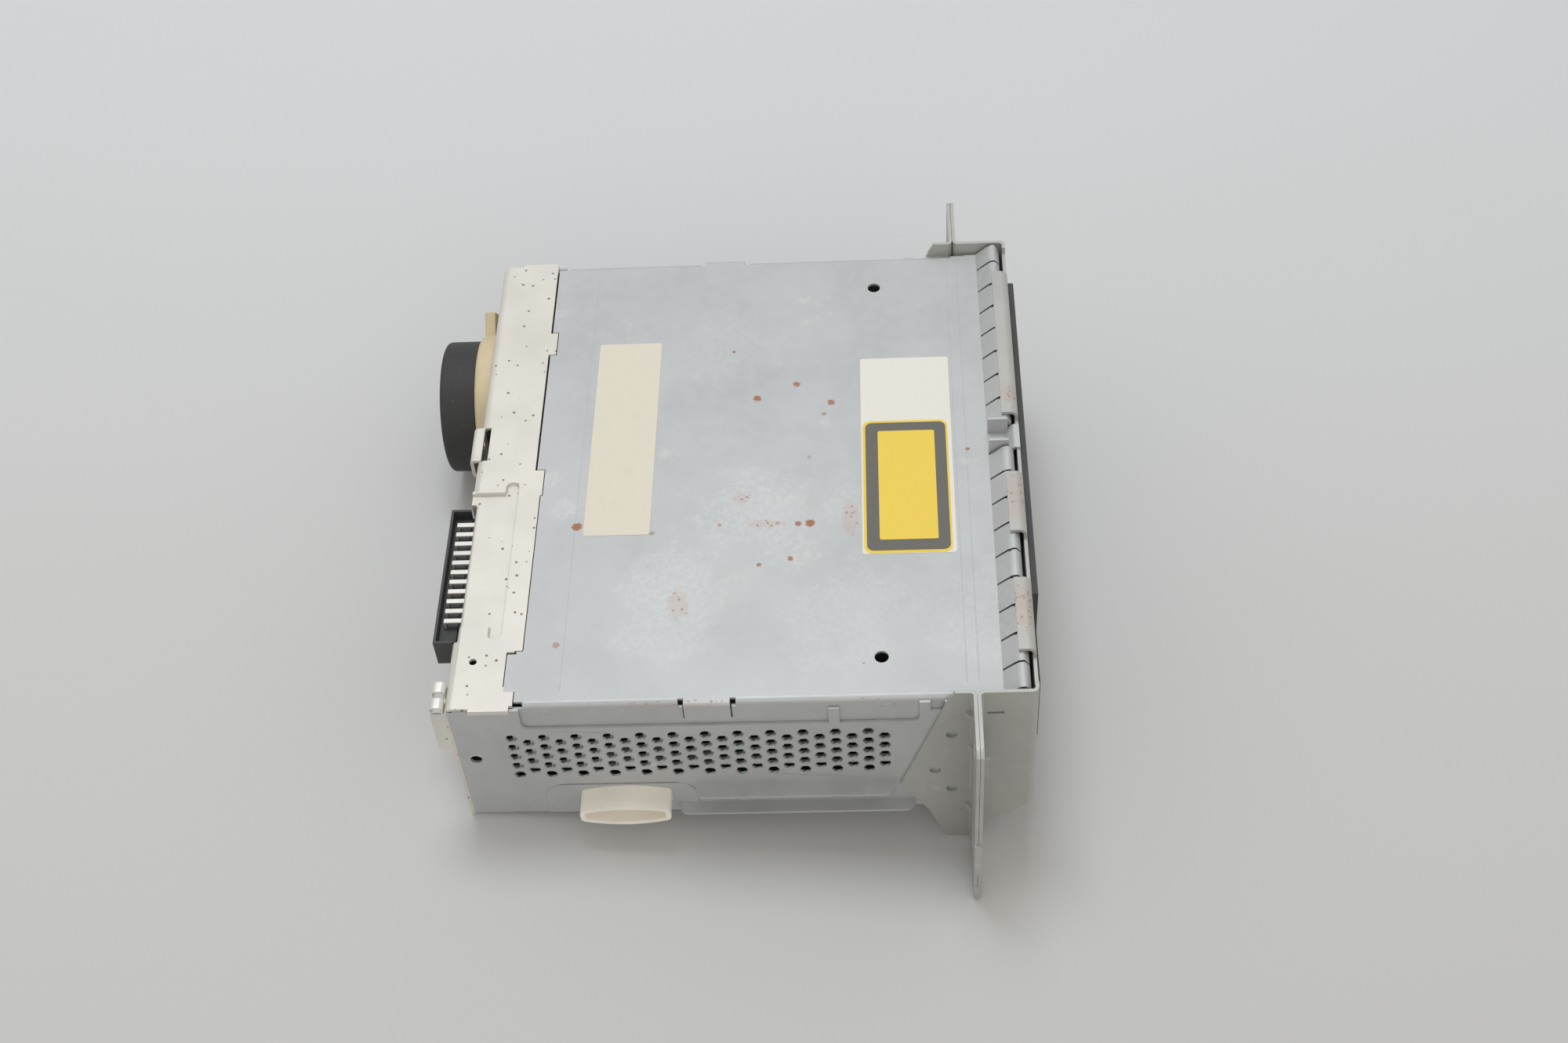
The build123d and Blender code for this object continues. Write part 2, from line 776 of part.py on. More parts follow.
def front_cut():
    """Front plate above and below its own height, short of the corner bend."""
    high = block((case_front - 4, case_front + 1), (-bracket_y + 3.5, 1), (front_plate_top, bracket_top + 1))
    low = block((case_front - 4, case_front + 1), (-bracket_y - 1, 1), (ear_bottom - 1, front_plate_bottom))
    return high + low


def ear_corner_cut():
    """Waste outside the rounded top outer corner of the near ear."""
    y = -ear_reach + ear_corner
    z = bracket_top - ear_corner
    corner = Pos(y - ear_corner / 2, z + ear_corner / 2) * Rectangle(ear_corner, ear_corner)
    return lengthwise(corner - Pos(y, z) * Circle(ear_corner), 140, ear_front + 1)


def gusset(z, size):
    """Small pressed rib across the bend between the side plate and the rear layer of the ear."""
    x = ear_front - 2 * bracket_gauge - ear_seam
    rib = outline(
        (x - size - 0.4, -bracket_y + 0.3),
        (x + 0.3, -bracket_y - size - 0.4),
        (x + 0.3, -bracket_y + 0.3),
    )
    return upwards(rib, z - 1.0, z + 1.0)


def hook():
    """Thin tab standing forward of the near ear, notched near its root."""
    low, high = hook_z
    root = ear_front - 0.1
    tab = block((root, ear_front + hook_reach), hook_y, (low, high))
    return tab - block((root + 0.1, ear_front + hook_notch), hook_y, (low - 1, low + hook_notch))


def front_bezel():
    rear = case_front + bezel_gap
    plate = Pos(0, sum(bezel_z) / 2) * RectangleRounded(2 * bezel_half, bezel_z[1] - bezel_z[0], 2.5)
    bezel = lengthwise(plate, rear, rear + bezel_thick)
    front_edges = bezel.faces().sort_by(Axis.X)[-1].edges()
    bezel = chamfer(front_edges, 0.6)
    bezel -= block((rear - 1, rear + 4), (-slot_half, slot_half), slot_z)
    lip = Pos(0, sum(slot_z) / 2) * Rectangle(2 * slot_half + 5, slot_z[1] - slot_z[0] + 5)
    hole = Pos(0, sum(slot_z) / 2) * Rectangle(2 * slot_half, slot_z[1] - slot_z[0])
    bezel -= lengthwise(lip - hole, rear + bezel_thick - 0.6, rear + bezel_thick + 1)
    lug = block((flap_pivot_x - 1.9, rear), flap_lug_y, (flap_pivot_z - 2, flap_pivot_z + 2))
    lug -= shaft("Y", (flap_pivot_x, flap_lug_y[0] - 1, flap_pivot_z), flap_pin + running, 4)
    bezel += both_sides(lug)
    snap = block((rear - bezel_snap_reach, rear), bezel_snap_y, (window_z[1] - 7, window_z[1] - edge_gap))
    return bezel + both_sides(snap)


def slot_felts():
    """Two felt strips behind the slot."""
    rear = case_front + bezel_gap
    strip_x = (rear - felt_thick, rear)
    upper = block(strip_x, (-slot_half, slot_half), (slot_z[1], slot_z[1] + felt_height))
    lower = block(strip_x, (-slot_half, slot_half), (slot_z[0] - felt_height, slot_z[0]))
    return [upper, lower]


def dust_flap():
    low = slot_z[0] + 0.3
    flap = block((flap_pivot_x - flap_thick / 2, flap_pivot_x + flap_thick / 2),
                 (-flap_half, flap_half), (low, flap_pivot_z))
    flap += shaft("Y", (flap_pivot_x, -flap_half, flap_pivot_z), flap_pin, 2 * flap_half)
    flap += shaft("Y", (flap_pivot_x, -flap_lug_y[1], flap_pivot_z), flap_pin, 2 * flap_lug_y[1])
    return flap


def guide_shoe():
    """Springy bowed loop on the near wall, with two studs through the tray."""
    middle = (shoe_start + shoe_end) / 2
    half_mid = shoe_mid_height / 2
    half_end = shoe_end_height / 2

    def bow(inset):
        start = shoe_start + inset
        end = shoe_end - inset
        top = half_mid - inset
        corner = half_end - inset * 0.6
        upper = ThreePointArc((start, shoe_mid_z + corner), (middle, shoe_mid_z + top),
                              (end, shoe_mid_z + corner))
        lower = ThreePointArc((end, shoe_mid_z - corner), (middle, shoe_mid_z - top),
                              (start, shoe_mid_z - corner))
        right = Line(upper @ 1, lower @ 0)
        left = Line(lower @ 1, upper @ 0)
        return make_face([upper, right, lower, left])

    outer = bow(0)
    outer = fillet(outer.vertices(), 1.6)
    inner = bow(shoe_wall)
    inner = fillet(inner.vertices(), 0.6)
    near = -half_width - edge_gap - shoe_reach
    loop = across(outer, near, -half_width)
    loop -= across(inner, near - 1, -half_width - 1.6)
    for x, z in shoe_stud_places():
        loop += shaft("Y", (x, -half_width - 1, z), shoe_stud / 2, tray_gauge + 2)
    return loop


# Boards and the fixed parts of the deck

def post_places():
    return [(x, y) for x in damper_x for y in (-damper_y, damper_y)]


def main_board():
    board = block(board_x, (-board_half, board_half), (board_z, board_z + board_thick))
    for x, y in post_places():
        board -= many_sided(x, y, post_radius + edge_gap, board_z - 1, board_z + board_thick + 1)
    return board


def board_chips():
    """Flat packages and connectors soldered on the main board."""
    top = board_z + board_thick
    chips = []
    for x, y, length, width, height in (
        (100.0, -45.0, 14, 14, 1.6), (120.0, 30.0, 20, 14, 1.6), (60.0, 50.0, 14, 20, 1.8),
        (36.0, -40.0, 16, 8, 1.8), (132.0, -20.0, 10, 10, 1.4), (100.0, 45.0, 24, 6, 4.0),
    ):
        chips.append(block((x - length / 2, x + length / 2), (y - width / 2, y + width / 2),
                           (top, top + height)))
    return chips


def board_capacitors():
    top = board_z + board_thick
    return [many_sided(x, y, capacitor_radius, top, top + capacitor_height)
            for x in capacitor_x for y in (-capacitor_y, capacitor_y)]


def deck_posts():
    posts = []
    for x, y in post_places():
        posts.append(many_sided(x, y, post_radius, tray_gauge, deck_z - damper_foot))
    return posts


def deck_dampers():
    """Rubber grommets that carry the deck, waisted in the deck's holes."""
    dampers = []
    for x, y in post_places():
        top = deck_z + deck_gauge
        damper = many_sided(x, y, damper_radius, deck_z - damper_foot, deck_z)
        damper += many_sided(x, y, damper_waist, deck_z - 1, top + 1)
        dampers.append(damper + many_sided(x, y, damper_radius, top, top + damper_head))
    return dampers


def deck_base():
    """Stamped base plate with openings for roller, pickup and spindle, and rail lugs below."""
    plate = Rectangle(deck_x[1] - deck_x[0], 2 * deck_half)
    plate = Pos(sum(deck_x) / 2, 0) * chamfer(plate.vertices(), 3)
    plate -= Pos(roller_x, 0) * Rectangle(20, 2 * (arm_cheek_y + 1.5))
    sled_from = sled_x - sled_travel - 11
    sled_to = sled_x + 11
    plate -= Pos((sled_from + sled_to) / 2, 0) * Rectangle(sled_to - sled_from, 27)
    plate -= Pos(disc_x, 0) * Circle(4.0)
    for x, y in post_places():
        plate -= Pos(x, y) * RegularPolygon(damper_waist + sheet_gap, round_side_count)
    for x in (30.0, 55.0):
        for y in (-46.0, 46.0):
            plate -= Pos(x, y) * Rectangle(16, 20)
    base = upwards(plate, deck_z, deck_z + deck_gauge)
    for x in (rail_x[0], rail_x[1] - 1.5):
        for y in (rod_y, screw_y):
            lug = block((x, x + 1.5), (y - 3.5, y + 3.5), (rail_z - 2.6, deck_z))
            clearance = 0 if y == rod_y else running
            base += lug - shaft("X", (x - 1, y, rail_z), rail_radius + clearance, 4)
    return base


def guide_plate():
    """Upper disc guide: a sheet bridge with flanges that carry the arms, gears and motor."""
    gauge = deck_gauge
    middle = guide_half - gauge / 2
    low = deck_z + deck_gauge
    line = [(-middle, low), (-middle, guide_z + gauge / 2), (middle, guide_z + gauge / 2), (middle, low)]
    plate = lengthwise(bent_section(line, gauge, sheet_bend), *guide_x)
    plate -= shaft("Z", (disc_x, 0, guide_z - 1), clamper_radius + 3, 4)
    plate -= block((clamp_pivot_x - 9, disc_x), (-clamp_arm_half - 1, clamp_arm_half + 1),
                   (guide_z - 0.5, guide_z + 3))
    slot = Circle(lever_reach + lever_pin + 0.4) - Circle(lever_reach - lever_pin - 0.4)
    wedge = outline(
        (0, 0),
        (60 * math.cos(math.radians(-lever_rest - 6)), 60 * math.sin(math.radians(-lever_rest - 6))),
        (60, 0),
        (60 * math.cos(math.radians(lever_swing - lever_rest + 6)),
         60 * math.sin(math.radians(lever_swing - lever_rest + 6))),
    )
    arc = upwards(Pos(lever_pivot_x, lever_pivot_y) * (slot & wedge), guide_z - 1, guide_z + 2)
    plate -= both_sides(arc)
    stud = shaft("Z", (lever_pivot_x, lever_pivot_y, guide_z + gauge - 0.1), 1.5, 2.1)
    plate += both_sides(stud)
    ear = block((clamp_pivot_x - 6, clamp_pivot_x + 6), (-guide_half, -guide_half + gauge),
                (guide_z - 4, clamp_pivot_z + 4))
    plate += both_sides(ear)
    idler_x, idler_z = idler_centre()
    pinion_x, pinion_z = pinion_centre()
    mount = block((pinion_x - load_motor_radius, idler_x + 5), (guide_half - gauge, guide_half),
                  (guide_z - 4, pinion_z + load_motor_radius - 1))
    plate += mount
    plate += shaft("Y", (idler_x, guide_half - 0.2, idler_z), 1.5, gear_y[1] + 0.8 - guide_half)
    plate -= shaft("Y", (pinion_x, guide_half - 3, pinion_z), 3.0, 6)
    for y in (-guide_half - 1, guide_half - 2):
        plate -= shaft("Y", (arm_pivot_x, y, arm_pivot_z), arm_pin + running, 3)
        plate -= shaft("Y", (clamp_pivot_x, y, clamp_pivot_z), arm_pin + running, 3)
        plate -= block((roller_x - 4, roller_x + 4), (y, y + 3), (low - 0.1, roller_z + 3.2))
    for x in cam_stud_x:
        plate += shaft("Y", (x, cam_outer() - 0.6, sum(cam_z) / 2), cam_stud, -guide_half + 0.8 - cam_outer())
    for near, far in ((guide_half - 16, guide_half - 6), (6 - guide_half, 16 - guide_half)):
        plate += block((roller_x - 7, roller_x + 5), (near, far), (disc_z + 1.5, guide_z + 0.1))
    return plate


def cam_outer():
    """Outer face of the cam slide."""
    return -guide_half - 1.5 - cam_gauge


def idler_centre():
    distance = gear_module * (roller_teeth + idler_teeth) / 2
    return roller_x, roller_z + distance


def pinion_centre():
    idler_x, idler_z = idler_centre()
    distance = gear_module * (pinion_teeth + idler_teeth) / 2
    pinion_z = case_height - cover_gauge - load_motor_gap - load_motor_radius
    return idler_x - math.sqrt(distance ** 2 - (pinion_z - idler_z) ** 2), pinion_z


def gear(teeth, centre, tooth_angle, bore):
    """Spur gear across the gear row, with one tooth centred at an angle from +X to +Z."""
    pitch_radius = gear_module * teeth / 2
    tip = pitch_radius + gear_addendum * gear_module
    root = pitch_radius - gear_dedendum * gear_module
    step = 360 / teeth
    points = []
    for tooth in range(teeth):
        for radius, share in ((root, -0.29), (tip, -0.1), (tip, 0.1), (root, 0.29)):
            angle = math.radians(tooth_angle + (tooth + share) * step)
            points.append((radius * math.cos(angle), radius * math.sin(angle)))
    face = outline(*points)
    if bore:
        face -= Circle(bore)
    return across(Pos(*centre) * face, *gear_y)


def idler_gear():
    """The idler has a tooth straight down, in the roller gear's gap."""
    return gear(idler_teeth, idler_centre(), -90, 1.5 + running)


def motor_pinion():
    idler_x, idler_z = idler_centre()
    x, z = pinion_centre()
    line = math.degrees(math.atan2(z - idler_z, x - idler_x))
    step = 360 / idler_teeth
    offset = (-90 - line) % step
    gap = line - 180 - offset * idler_teeth / pinion_teeth
    pinion = gear(pinion_teeth, (x, z), gap + 180 / pinion_teeth, 0)
    face = Pos(x, z) * Circle(1.0)
    return pinion + across(face, guide_half - 3.0, gear_y[0] + 0.1)


def load_motor():
    x, z = pinion_centre()
    face = guide_half - deck_gauge
    motor = shaft("Y", (x, face - load_motor_length, z), load_motor_radius, load_motor_length)
    motor += shaft("Y", (x, face - load_motor_length - 1.2, z), 3.0, 1.4)
    return motor - shaft("Y", (x, face - 2.5, z), 1.0 + running, 3)


def roller_shaft():
    """Steel roller shaft with its gear on the far end."""
    rod = shaft("Y", (roller_x, -arm_cheek_y - 2, roller_z), roller_rod,
                arm_cheek_y + 2 + gear_y[1] - 0.2)
    step = 360 / roller_teeth
    return rod + gear(roller_teeth, (roller_x, roller_z), 90 + step / 2, 0)


def roller_rubbers():
    """Two rubber sleeves, thinner towards the middle of the disc."""
    inner, outer = roller_span
    side_count = 2 * round_side_count
    ends = [Plane.XZ.offset(-y) * Pos(roller_x, roller_z) * RegularPolygon(radius, side_count)
            for y, radius in ((inner, roller_mid_radius), (outer, roller_end_radius))]
    sleeve = loft(ends)
    sleeve -= shaft("Y", (roller_x, inner - 1, roller_z), roller_rod, outer - inner + 2)
    return [sleeve, mirror(sleeve, about=Plane.XZ)]


def roller_arm():
    """Yoke that carries the roller between two cheeks, with pivot pins and a crank outside."""
    cheek = outline(
        (arm_pivot_x - 4, arm_pivot_z + 3), (arm_pivot_x - 4, arm_pivot_z - 1.8),
        (arm_pivot_x + 2, arm_pivot_z - 2.4), (roller_x + 3, roller_z - 3.2),
        (roller_x + 3, roller_z + 3), (roller_x - 4, roller_z + 3),
    )
    cheek -= Pos(roller_x, roller_z) * Circle(roller_rod + running)
    side = across(cheek, -arm_cheek_y - 1, -arm_cheek_y)
    arm = side + mirror(side, about=Plane.XZ)
    arm += block((arm_pivot_x - 4, arm_pivot_x), (-arm_cheek_y - 0.5, arm_cheek_y + 0.5),
                 (arm_pivot_z - 1.8, arm_pivot_z - 0.8))
    pin_reach = guide_half + 0.2
    for start in (-pin_reach - 1, arm_cheek_y):
        arm += shaft("Y", (arm_pivot_x, start, arm_pivot_z), arm_pin, pin_reach + 1 - arm_cheek_y)
    return arm + crank(arm_pivot_x, arm_pivot_z, -crank_reach_roller)


def crank(x, z, reach):
    """Flat crank outside the guide plate's near flange, with a pin for the cam slide."""
    y = -guide_half - 0.2
    plate = Pos(x + reach / 2, z) * SlotOverall(abs(reach) + 5, 5)
    lever = across(plate, y - 1.0, y)
    return lever + shaft("Y", (x + reach, cam_outer() - 0.5, z), crank_pin, y - cam_outer())


def cam_slide():
    """Sliding cam plate with two stud slots and a slanted slot for each crank pin."""
    low, high = cam_z
    y = cam_outer()
    plate = outline((46, low), (arm_pivot_x - 18, low), (arm_pivot_x - 18, 12.5),
                    (arm_pivot_x + 8, 12.5), (arm_pivot_x + 8, high), (60, high), (60, 40), (34, 40),
                    (34, 30), (46, 30))
    for x in cam_stud_x:
        plate -= Pos(x + cam_travel / 2, (low + high) / 2) * SlotOverall(
            cam_travel + 2 * cam_stud + 0.3, 2 * cam_stud + 0.3
        )
    drops = (
        (arm_pivot_x - crank_reach_roller, arm_pivot_z, crank_reach_roller, math.radians(arm_drop)),
        (clamp_pivot_x + crank_reach_clamp * math.cos(math.radians(clamp_lift)),
         clamp_pivot_z + crank_reach_clamp * math.sin(math.radians(clamp_lift)),
         -crank_reach_clamp, math.radians(clamp_lift)),
    )
    for x, z, reach, angle in drops:
        rise = reach * math.sin(angle)
        tilt = math.degrees(math.atan2(rise, cam_travel))
        length = math.hypot(cam_travel, rise)
        slot = SlotOverall(length + 2 * crank_pin + 1.0, 2 * crank_pin + 0.9)
        plate -= Pos(x + cam_travel / 2, z + rise / 2) * Rot(0, 0, tilt) * slot
    return across(plate, y, y + cam_gauge)


def lifted(piece):
    """Turn a piece of the clamp from its play position up to where it rests."""
    axis = Axis((clamp_pivot_x, 0, clamp_pivot_z), (0, -1, 0))
    return piece.rotate(axis, clamp_lift)


def clamp_arm():
    """Long tongue over the disc, on a cross bar with pivot ears and pins."""
    tongue = Pos((clamp_pivot_x + disc_x + 8) / 2, 0) * RectangleRounded(
        disc_x + 8 - clamp_pivot_x, 2 * clamp_arm_half, 4
    )
    tongue += Pos(clamp_pivot_x + 1, 0) * Rectangle(8, 2 * (guide_half - 3.5))
    tongue -= Pos(disc_x, 0) * Circle(clamper_stem + 0.4)
    tongue -= Pos((clamp_pivot_x + disc_x) / 2, 0) * RectangleRounded(26, 12, 3)
    arm = upwards(tongue, clamp_arm_z, clamp_arm_z + 1)
    end = guide_half - 3.5
    for y in (-end, end - 1):
        arm += block((clamp_pivot_x - 3, clamp_pivot_x + 5), (y, y + 1), (clamp_arm_z, clamp_pivot_z + 3))
    pin_reach = guide_half + 0.2
    for start in (-pin_reach - 1, end - 0.5):
        arm += shaft("Y", (clamp_pivot_x, start, clamp_pivot_z), arm_pin, pin_reach + 1.5 - end)
    arm += crank(clamp_pivot_x, clamp_pivot_z, crank_reach_clamp)
    return lifted(arm)


def clamper():
    """Clamping puck, loose in the arm's hole, with a hollow for the spindle cone."""
    bottom = seat_z + disc_thick
    puck = shaft("Z", (disc_x, 0, bottom), clamper_radius, 3.6)
    puck += shaft("Z", (disc_x, 0, bottom + 3), clamper_stem, clamp_arm_z + 1.5 - bottom - 3)
    puck += shaft("Z", (disc_x, 0, clamp_arm_z + 1.3), clamper_stem + 2.5, 1.2)
    puck -= shaft("Z", (disc_x, 0, bottom - 1), cone_radius + 0.3, 3.2)
    return lifted(puck)


def spindle_motor():
    low = deck_z - spindle_motor_height
    motor = shaft("Z", (disc_x, 0, low), spindle_motor_radius, spindle_motor_height)
    motor += shaft("Z", (disc_x, 0, deck_z - 0.1), 3.6, deck_gauge + 0.6)
    return motor - shaft("Z", (disc_x, 0, deck_z - 3), spindle_shaft + running, 8)


def turntable():
    """Disc seat with a centring cone, on the spindle."""
    table = shaft("Z", (disc_x, 0, seat_z - 1.4), table_radius, 1.4)
    cone = Cone(cone_radius, cone_radius - 1.4, 2.0, align=(Align.CENTER, Align.CENTER, Align.MIN))
    table += Pos(disc_x, 0, seat_z) * cone
    table += shaft("Z", (disc_x, 0, deck_z + deck_gauge + 0.9), 5.0, seat_z - 1.4 - deck_z - deck_gauge - 0.8)
    return table + shaft("Z", (disc_x, 0, deck_z - 2.5), spindle_shaft, 6)


def guide_rod():
    return shaft("X", (rail_x[0] - 0.5, rod_y, rail_z), rail_radius, rail_x[1] - rail_x[0] + 1)


def lead_screw():
    start = rail_x[0] - 0.5
    screw_body = shaft("X", (start, screw_y, rail_z), rail_radius, rail_x[1] + 1.5 - start)
    return screw_body


def sled_motor():
    motor = shaft("X", (rail_x[1], screw_y, rail_z), 3.7, 14)
    return motor - shaft("X", (rail_x[1] - 1, screw_y, rail_z), rail_radius + running, 3)


def pickup_sled():
    """Carriage on rod and screw, with the optical block standing up through the deck."""
    half = 11.0
    body = block((sled_x - half, sled_x + half), (rod_y - 3.4, screw_y + 3.4), (rail_z - 2.2, deck_z - 1.2))
    top = block((sled_x - 9, sled_x + 9), (-12, 12), (deck_z - 1.4, 19.5))
    top = chamfer(top.edges().filter_by(Axis.X).sort_by(Axis.Z)[-2:], 2.0)
    body += top
    body -= shaft("X", (sled_x - half - 1, rod_y, rail_z), rail_radius + running, 2 * half + 2)
    body -= shaft("X", (sled_x - half - 1, screw_y, rail_z), rail_radius + running, 2 * half + 2)
    return body - shaft("Z", (sled_x, 0, 16), lens_radius + 0.3, 5)


def objective_lens():
    lens = shaft("Z", (sled_x, 0, 17.0), lens_radius, 4.2)
    return chamfer(lens.edges().sort_by(Axis.Z)[-1], 1.0, 1.0)


def sensor_lever():
    """Far-side lever with a pin that hangs into the disc's way."""
    angle = math.radians(-lever_rest)
    pin_x = lever_pivot_x + lever_reach * math.cos(angle)
    pin_y = lever_pivot_y + lever_reach * math.sin(angle)
    mid = Pos((lever_pivot_x + pin_x) / 2, (lever_pivot_y + pin_y) / 2)
    plate = mid * Rot(0, 0, -lever_rest) * SlotOverall(lever_reach + 5, 5)
    plate -= Pos(lever_pivot_x, lever_pivot_y) * Circle(1.5 + running)
    lever = upwards(plate, lever_z, lever_z + 1)
    return lever + shaft("Z", (pin_x, pin_y, slot_z[0] + 0.6), lever_pin, lever_z + 0.5 - slot_z[0] - 0.6)


nodes = {
    "chassis_tray": chassis_tray,
    "top_cover": top_cover,
    "rear_panel": rear_panel,
    "front_bracket": front_bracket,
    "front_bezel": front_bezel,
    "slot_felts": slot_felts,
    "dust_flap": dust_flap,
    "rear_buffer_hub": rear_buffer_hub,
    "rear_buffer_ring": rear_buffer_ring,
    "connector_housing": connector_housing,
    "connector_contacts": connector_contacts,
    "jack_board": jack_board,
    "earth_clip": earth_clip,
    "guide_shoe_near": guide_shoe,
    "guide_shoe_far": lambda: mirror(guide_shoe(), about=Plane.XZ),
    "main_board": main_board,
    "board_chips": board_chips,
    "board_capacitors": board_capacitors,
    "deck_posts": deck_posts,
    "deck_dampers": deck_dampers,
    "deck_base": deck_base,
    "guide_plate": guide_plate,
    "load_motor": load_motor,
    "motor_pinion": motor_pinion,
    "idler_gear": idler_gear,
    "roller_shaft": roller_shaft,
    "roller_rubbers": roller_rubbers,
    "roller_arm": roller_arm,
    "cam_slide": cam_slide,
    "clamp_arm": clamp_arm,
    "clamper": clamper,
    "spindle_motor": spindle_motor,
    "turntable": turntable,
    "guide_rod": guide_rod,
    "lead_screw": lead_screw,
    "sled_motor": sled_motor,
    "pickup_sled": pickup_sled,
    "objective_lens": objective_lens,
    "sensor_lever_far": sensor_lever,
    "sensor_lever_near": lambda: mirror(sensor_lever(), about=Plane.XZ),
}

to_flange_centre = Pos(-flange_mid_x, 0, -flange_mid_z)

os.makedirs("parts", exist_ok=True)
for name, make in nodes.items():
    made = make()
    pieces = made if isinstance(made, list) else [made]
    solids = [to_flange_centre * solid for piece in pieces for solid in piece.solids()]
    export_step(Compound(children=solids), f"parts/{name}.step")
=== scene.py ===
"""Looks of a slot-loading car disc player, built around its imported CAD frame."""

import json
import math

import bmesh
import bpy
from bpy.props import FloatProperty, FloatVectorProperty, PointerProperty
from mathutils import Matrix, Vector


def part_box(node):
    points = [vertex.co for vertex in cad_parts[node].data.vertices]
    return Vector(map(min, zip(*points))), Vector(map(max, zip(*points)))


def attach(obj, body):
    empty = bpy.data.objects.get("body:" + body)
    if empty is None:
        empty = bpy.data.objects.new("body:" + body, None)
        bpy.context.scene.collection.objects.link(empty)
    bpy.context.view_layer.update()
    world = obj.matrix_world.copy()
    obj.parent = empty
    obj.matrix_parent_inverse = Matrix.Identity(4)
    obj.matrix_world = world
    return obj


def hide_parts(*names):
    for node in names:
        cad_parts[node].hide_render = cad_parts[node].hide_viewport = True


bl_info = {
    "name": "Car disc player dressing",
    "version": (1, 0, 0),
    "blender": (4, 5, 0),
    "location": "View3D > Sidebar > Player",
    "description": "Builds the visible pieces and finishes of a slot-loading disc player",
    "category": "Object",
}

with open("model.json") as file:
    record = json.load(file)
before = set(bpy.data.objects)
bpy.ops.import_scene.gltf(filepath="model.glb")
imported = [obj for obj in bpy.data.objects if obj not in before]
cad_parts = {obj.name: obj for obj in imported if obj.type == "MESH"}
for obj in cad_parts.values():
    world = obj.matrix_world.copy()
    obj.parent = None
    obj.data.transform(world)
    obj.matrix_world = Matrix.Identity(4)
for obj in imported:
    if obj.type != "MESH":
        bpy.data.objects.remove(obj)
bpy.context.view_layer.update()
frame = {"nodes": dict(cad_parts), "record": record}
nodes = frame["nodes"]

MM = 0.001
WELD = 0.00001          # vertices closer than this are the same
BODY = "case"

# All lengths in capitals are millimetres in the case frame: x from the rear face to the front,
# y from the middle of the width, z from the underside of the tray.
REAR_SHEETS = 1.1       # rear panel and the gap between it and the tray
tray_low, tray_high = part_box("chassis_tray")
REAR = tray_low.x - REAR_SHEETS * MM
UNDER = tray_low.z

CASE_TOP = 52.2
CASE_HALF = 89.0
SHEET = 0.8
COVER_HALF = CASE_HALF - SHEET - 0.1

VENT_RADIUS = 1.5       # half the width across the corners of a CAD vent
VENT_OPEN = 1.68        # radius of the finished vents
VENT_COLUMNS = 24
VENT_ROWS = 5
VENT_FIRST_X = 17.1
VENT_TOP_Z = 38.0
VENT_PITCH_X = 4.53
VENT_PITCH_Z = 4.45
SKIRT_VENT = 1.55       # radius of the holes in the skirt
SKIRT_VENT_LAG = 1.15   # the first of them stands this far behind the tray's vent, the last doesn't
SKIRT_VENT_DROP = 0.7   # and all stand this much lower
SKIRT_VENT_FLOOR = 22.0  # lowest edge of a hole that still meets the skirt

WALL_STEP = 3.7         # the cut-down top edge of each wall starts this much further back
WALL_CORNER = ((24.0, 87.0, 42.0), (27.5, 90.0, 52.0))
SKIRT_REAR = 22.0       # rear edge of the CAD skirt, which goes on behind the first vents
SKIRT_SHIFT = 7.2
SKIRT_CORNER = ((SKIRT_REAR - 0.2, 87.0, 20.0), (SKIRT_REAR + 0.2, 90.0, 50.65))

FINGER_START = 154.3    # all faces in front of this belong to the spring fingers
CREST_X = (158.0, 161.2)
CREST_Z = 53.5
CREST_ROUND = 0.62
CURL_TOP = 56.0         # crest of the bracket's curled strips
COVER_TAB = ((16.3, -83.2), (21.5, -70.3))
SWAGES = (32.4, 143.9, 147.2)
SWAGE_HALF = (0.8, 84.0)
PIPS = ((27.7, -1), (122.5, -1), (27.7, 1), (122.5, 1))
PIP_HEIGHT = 48.6

RECESS = ((0.8, -66.0, 49.3), (14.8, -5.0, 52.0))   # the rear panel's lowered field and groove
RECESS_ROUND = 0.7
LAP = ((0.9, 42.2), (20.75, CASE_TOP - 1.2))        # thin lap on each wall, in x and z
LAP_THICK = 0.14
FIELD = ((23.1, 1.2), (66.9, 14.8))                 # coined field on each wall, in x and z
FIELD_CORNER = 5.5
FIELD_RIM = 0.7

BUFFER_Y = 51.6
BUFFER_Z = 26.0
RING_X = (-17.3, -6.0)
RING_RADIUS = 21.0
RING_BORE = 12.0
HUB_RADIUS = 23.0
BOSS_REAR = -15.8
BOSS_RADIUS = 11.9
BOSS_HOLE = 4.0
LUG_ANGLE = 41.0
LUG_X = (-5.0, -1.6)
LUG_ROOT = 18.0         # the lug's ends from the buffer's axis
LUG_REACH = 30.2
LUG_HALF = 4.0

BEZEL_FRONT = 165.6
BEZEL_NEAR = -71.0
BEZEL_STEP_Y = -52.0
BEZEL_STEP_Z = 34.0
CONNECTOR_CORNER = (0.0, -64.0, 40.5)

SCREW_RADIUS = 2.7
SCREW_HEIGHT = 1.5
BOARD_SCREWS = [(x, y, 7.2) for x in (12.0, 152.0) for y in (-79.0, 79.0)]
DAMPER_SCREWS = [(x, y, 16.6) for x in (14.0, 112.0) for y in (-60.0, 60.0)]
PANEL_SCREWS = [(0.0, y, 8.0) for y in (-76.0, -4.0, 76.0)]

CAMERA_PLACE = (-0.022442, -0.441048, 0.51627)      # metres
CAMERA_TURN = (40.6788, 3.0439, 0.6884)             # degrees


def at(x, y, z):
    """Scene position of a place in the case frame."""
    return Vector((REAR + x * MM, y * MM, UNDER + z * MM))


def colour_property(name, description, default):
    return FloatVectorProperty(
        name=name, description=description, subtype="COLOR", size=3, min=0.0, max=1.0,
        default=default,
    )


